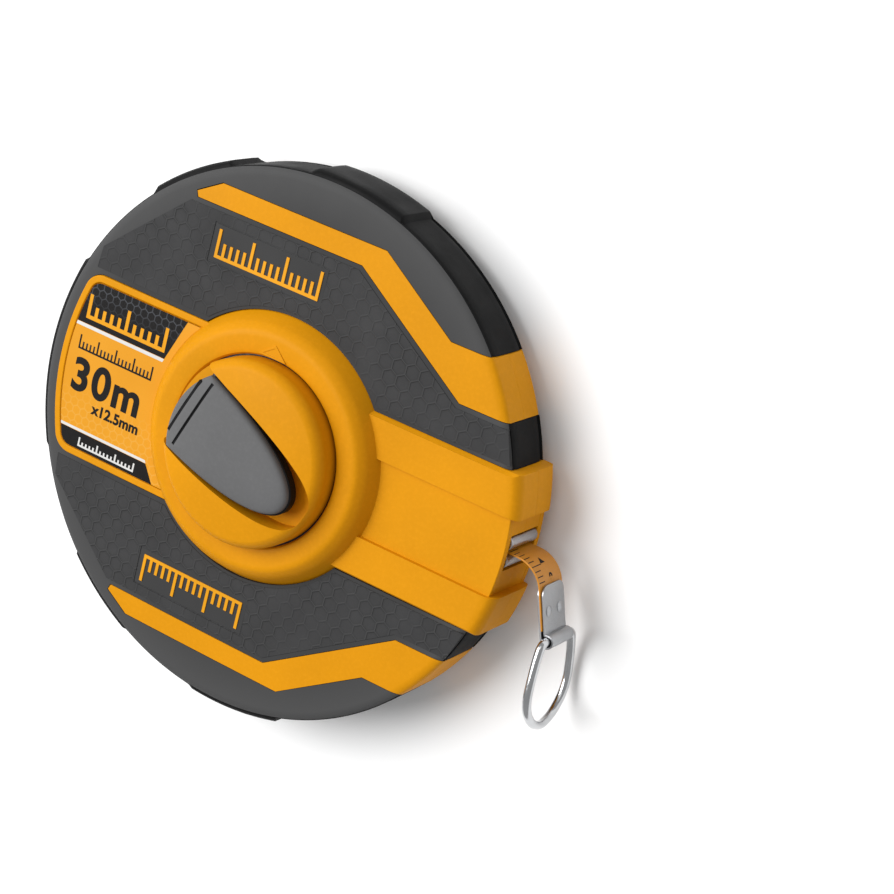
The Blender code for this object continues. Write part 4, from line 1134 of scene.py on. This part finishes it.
def clip():
    """The folded end clip, rolled round the ring's bar, with rounded plate corners."""
    end, along, outward = clip_frame()
    off = TAPE_T / 2 + CLIP_T / 2 + 0.00012
    centre = Vector((RING_PIVOT.x, RING_PIVOT.y))
    radius = WIRE_R + 0.00025 + CLIP_T / 2
    side = (centre - end).dot(outward)
    path = [end + along * CLIP_TOP - outward * off, end + along * 0.0095 - outward * off]
    sweep_start = math.pi
    sweep_end = -math.acos(max(min((off - side) / radius, 1), -1))
    reach = (centre - end).dot(along)
    for i in range(33):
        a = sweep_start + (sweep_end - sweep_start) * i / 32
        path.append(centre + outward * radius * math.cos(a) + along * radius * math.sin(a))
    path.append(end + along * (reach - radius - 0.0008) + outward * off)
    path.append(end + along * CLIP_TOP + outward * off)
    loops = []
    for i, point in enumerate(path):
        before = path[max(i - 1, 0)]
        after = path[min(i + 1, len(path) - 1)]
        way = (after - before).normalized()
        normal = Vector((-way.y, way.x)) * CLIP_T / 2
        z0, z1 = MID_Z - CLIP_HALF, MID_Z + CLIP_HALF
        loops.append([(*(point - normal), z0), (*(point + normal), z0), (*(point + normal), z1),
                      (*(point - normal), z1)])
    body = grid_solid("folded_clip", loops, closed=False)
    round_plate_corners(body, end, along)
    smooth(body, 0.00010, 3, 30)
    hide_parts("end_clip")
    dress(body, "clip", "lead")


def round_plate_corners(body, end, along):
    """Cuts the two upper corners of the folded plates to a radius."""
    radius = 0.0026
    for sign in (1, -1):
        centre_z = sign * (CLIP_HALF - radius)
        centre_s = CLIP_TOP + radius
        outline = [(centre_s - radius - 0.001, centre_z + sign * (radius + 0.001))]
        outline.append((centre_s - radius - 0.001, centre_z))
        for i in range(9):
            a = math.radians(180 - 90 * i / 8)
            outline.append((centre_s + radius * math.cos(a), centre_z + sign * radius * math.sin(a)))
        outline.append((centre_s, centre_z + sign * (radius + 0.001)))
        loops = []
        for offset in (-0.004, 0.004):
            loop = []
            for s, w in outline:
                spot = end + along * s + Vector((-along.y, along.x)) * offset
                loop.append((spot.x, spot.y, MID_Z + w))
            loops.append(loop)
        boolean(body, grid_solid("t", loops, closed=False))


def rivet_heads():
    """Domed rivet heads on both plates of the clip."""
    end, along, outward = clip_frame()
    off = TAPE_T / 2 + CLIP_T + 0.00012
    for number, width in ((1, -0.0030), (2, 0.0030)):
        spot = end + along * 0.0062
        turn = Vector((0, 0, 1)).rotation_difference(Vector((outward.x, outward.y, 0))).to_matrix().to_4x4()
        head = off + 0.00055
        half = [(0.0008, off - 0.0002), (0.0015, off - 0.0002), (0.0015, off + 0.0001),
                (0.0012, head - 0.00028), (0.0007, head - 0.00008), (0, head)]
        made = knob(f"rivet_{number}", [(r, -z) for r, z in reversed(half)] + half, 40)
        made.data.transform(Matrix.Translation((spot.x, spot.y, MID_Z + width)) @ turn)
        smooth(made, 0, angle=50)
        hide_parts(f"clip_rivet_{number}")
        dress(made, "clip", "lead")


def ring():
    """The wire D-ring as one smooth bent rod."""
    low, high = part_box("d_ring")
    wide = (high[2] - low[2]) / 2 - WIRE_R
    drop = 0.0249
    bar = TAPE_W / 2 + 0.0006
    half = [(0, 0), (0, bar * 0.55), (0, bar), (0.0006, bar + 0.0014), (0.0020, wide - 0.0020),
            (0.0060, wide - 0.0009), (0.0110, wide - 0.0001), (0.0145, wide), (0.0180, wide * 0.915),
            (0.0209, wide * 0.73), (0.0235, wide * 0.43), (drop, 0)]
    points = half + [(s, -w) for s, w in reversed(half[1:-1])]
    lean = math.radians(6.0)
    centres = [Vector((RING_PIVOT.x + s * math.sin(lean), RING_PIVOT.y - s * math.cos(lean), MID_Z + w))
               for s, w in points]
    path = closed_spline(centres, 8)
    loops = []
    plane = Vector((math.cos(lean), math.sin(lean), 0))
    for i, centre in enumerate(path):
        way = (path[(i + 1) % len(path)] - path[i - 1]).normalized()
        side = way.cross(plane).normalized()
        loop = []
        for k in range(20):
            a = math.tau * k / 20
            loop.append(tuple(centre + (plane * math.cos(a) + side * math.sin(a)) * WIRE_R))
        loops.append(loop)
    made = grid_solid("wire_ring", loops)
    smooth(made, 0, angle=60)
    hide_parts("d_ring")
    dress(made, "chrome", "ring")


def closed_spline(points, steps):
    """Points on a closed Catmull-Rom curve through the given ones."""
    path = []
    count = len(points)
    for i in range(count):
        p0, p1, p2, p3 = (points[(i + k - 1) % count] for k in range(4))
        for k in range(steps):
            t = k / steps
            path.append(0.5 * ((2 * p1) + (p2 - p0) * t + (2 * p0 - 5 * p1 + 4 * p2 - p3) * t * t
                               + (3 * p1 - p0 - 3 * p2 + p3) * t ** 3))
    return path


def screw_heads():
    """Cross-slotted heads for the rear case screws."""
    for number in range(1, CASE_SCREWS + 1):
        low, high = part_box(f"case_screw_{number}")
        x, y = middle(low, high)
        r = (high[0] - low[0]) / 2
        base = low[2]
        profile = [(0, base - 0.0001), (r * 0.55, base - 0.00005), (r * 0.85, base + 0.0001),
                   (r, base + 0.0004), (r, base + 0.0008), (0.0009, base + 0.0008), (0.0009, high[2]),
                   (0, high[2])]
        made = knob(f"screw_{number}", list(reversed(profile)), 40, (x, y))
        for long_x, long_y in ((SLOT_REACH, SLOT_HALF), (SLOT_HALF, SLOT_REACH)):
            boolean(made, block("t", (x - long_x, y - long_y, base - 0.001),
                                (x + long_x, y + long_y, base + 0.0006)))
        smooth(made, 0, angle=35)
        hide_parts(f"case_screw_{number}")
        dress(made, "steel", "case")


def dress_cad():
    """Materials for the CAD nodes that show as they are."""
    # The planet carrier takes the darkened steel, painted shade under the gap round the cap.
    looks = {"tape_coil": "coil", "tape_run": "tape", "planet_carrier": "shade_dark_steel"}
    # The orange_abs parts take the darker orange, painted shade for the inside of the case.
    plain = {"white_nylon": "nylon", "bright_steel": "steel", "orange_abs": "orange_shaded",
             "tape_orange": "tape", "label_print": "paper", "grey_rubber": "grey", "black_rubber": "black",
             "handle_grey": "handle", "chrome": "chrome"}
    slots = {row["node"]: row["material_slot"] for row in frame["record"]["subparts"]}
    for node, obj in frame["nodes"].items():
        look = MATERIALS[looks.get(node, plain[slots[node]])]
        for index in range(len(obj.material_slots)):
            obj.material_slots[index].material = look


# ---------------------------------------------------------------- studio
def studio():
    """White floor and a large soft key from the upper left, on a dim white world."""
    bpy.ops.mesh.primitive_plane_add(size=6)
    floor = bpy.context.object
    floor.name = "studio_floor"
    nodes = Nodes("studio_white", (0.97, 0.97, 0.97), 0.9, gloss=0)
    floor.data.materials.append(nodes.material)
    world = bpy.data.worlds.new("studio_world")
    bpy.context.scene.world = world
    world.use_nodes = True
    sky = world.node_tree.nodes["Background"].inputs
    sky["Color"].default_value = (1, 1, 1, 1)
    sky["Strength"].default_value = 0.42
    lamp("key", (-1.20, 0.45, 1.80), 2.00, 60)
    lamp("top", (0.10, 1.20, 1.20), 1.00, 2.5)


def lamp(name, place, size, power):
    light = bpy.data.lights.new(name, "AREA")
    light.shape = "DISK"
    light.size = size
    light.energy = power
    obj = bpy.data.objects.new(name, light)
    obj.location = place
    obj.rotation_euler = (Vector((0, 0, 0.02)) - Vector(place)).to_track_quat("-Z", "Y").to_euler()
    bpy.context.scene.collection.objects.link(obj)


def camera():
    """A long lens from above the mouth side, turned so that the band falls to the right."""
    unit = 0.0770
    lens = bpy.data.cameras.new("camera")
    lens.lens = 97.03
    lens.sensor_width = 36
    lens.clip_start = 0.01
    obj = bpy.data.objects.new("camera", lens)
    place = Vector((4.12009, 2.92889, 6.92915)) * unit + Vector((0, 0, FACE_Z))
    right = Vector((0.82818, 0.24701, -0.50309))
    up = Vector((-0.37224, 0.91348, -0.16427))
    back = -Vector((-0.41899, -0.32332, -0.84848))
    turn = Matrix((right, up, back)).transposed().to_4x4()
    obj.matrix_world = Matrix.Translation(place) @ turn
    bpy.context.scene.collection.objects.link(obj)
    bpy.context.scene.camera = obj
    bpy.context.scene.view_settings.view_transform = "Standard"


# ---------------------------------------------------------------- build
make_materials()
camera()
studio()
for way in (1, -1):
    face_skin(way)
    stripes(way)
    rails(way)
    mouth_panel(way)
    mouth_wall(way)
rim_rubber()
front_hub()
rear_hub()
label_frame()
label_print()
hex_panel(1, "upper_grip")
hex_panel(-1, "lower_grip")
cap()
hinge_pin()
leaf()
roller("upper", ROLLER_LOW, ROLLER_HIGH)
roller("lower", LOWER_ROLLER_LOW, LOWER_ROLLER_HIGH)
tape()
clip()
rivet_heads()
ring()
screw_heads()
dress_cad()
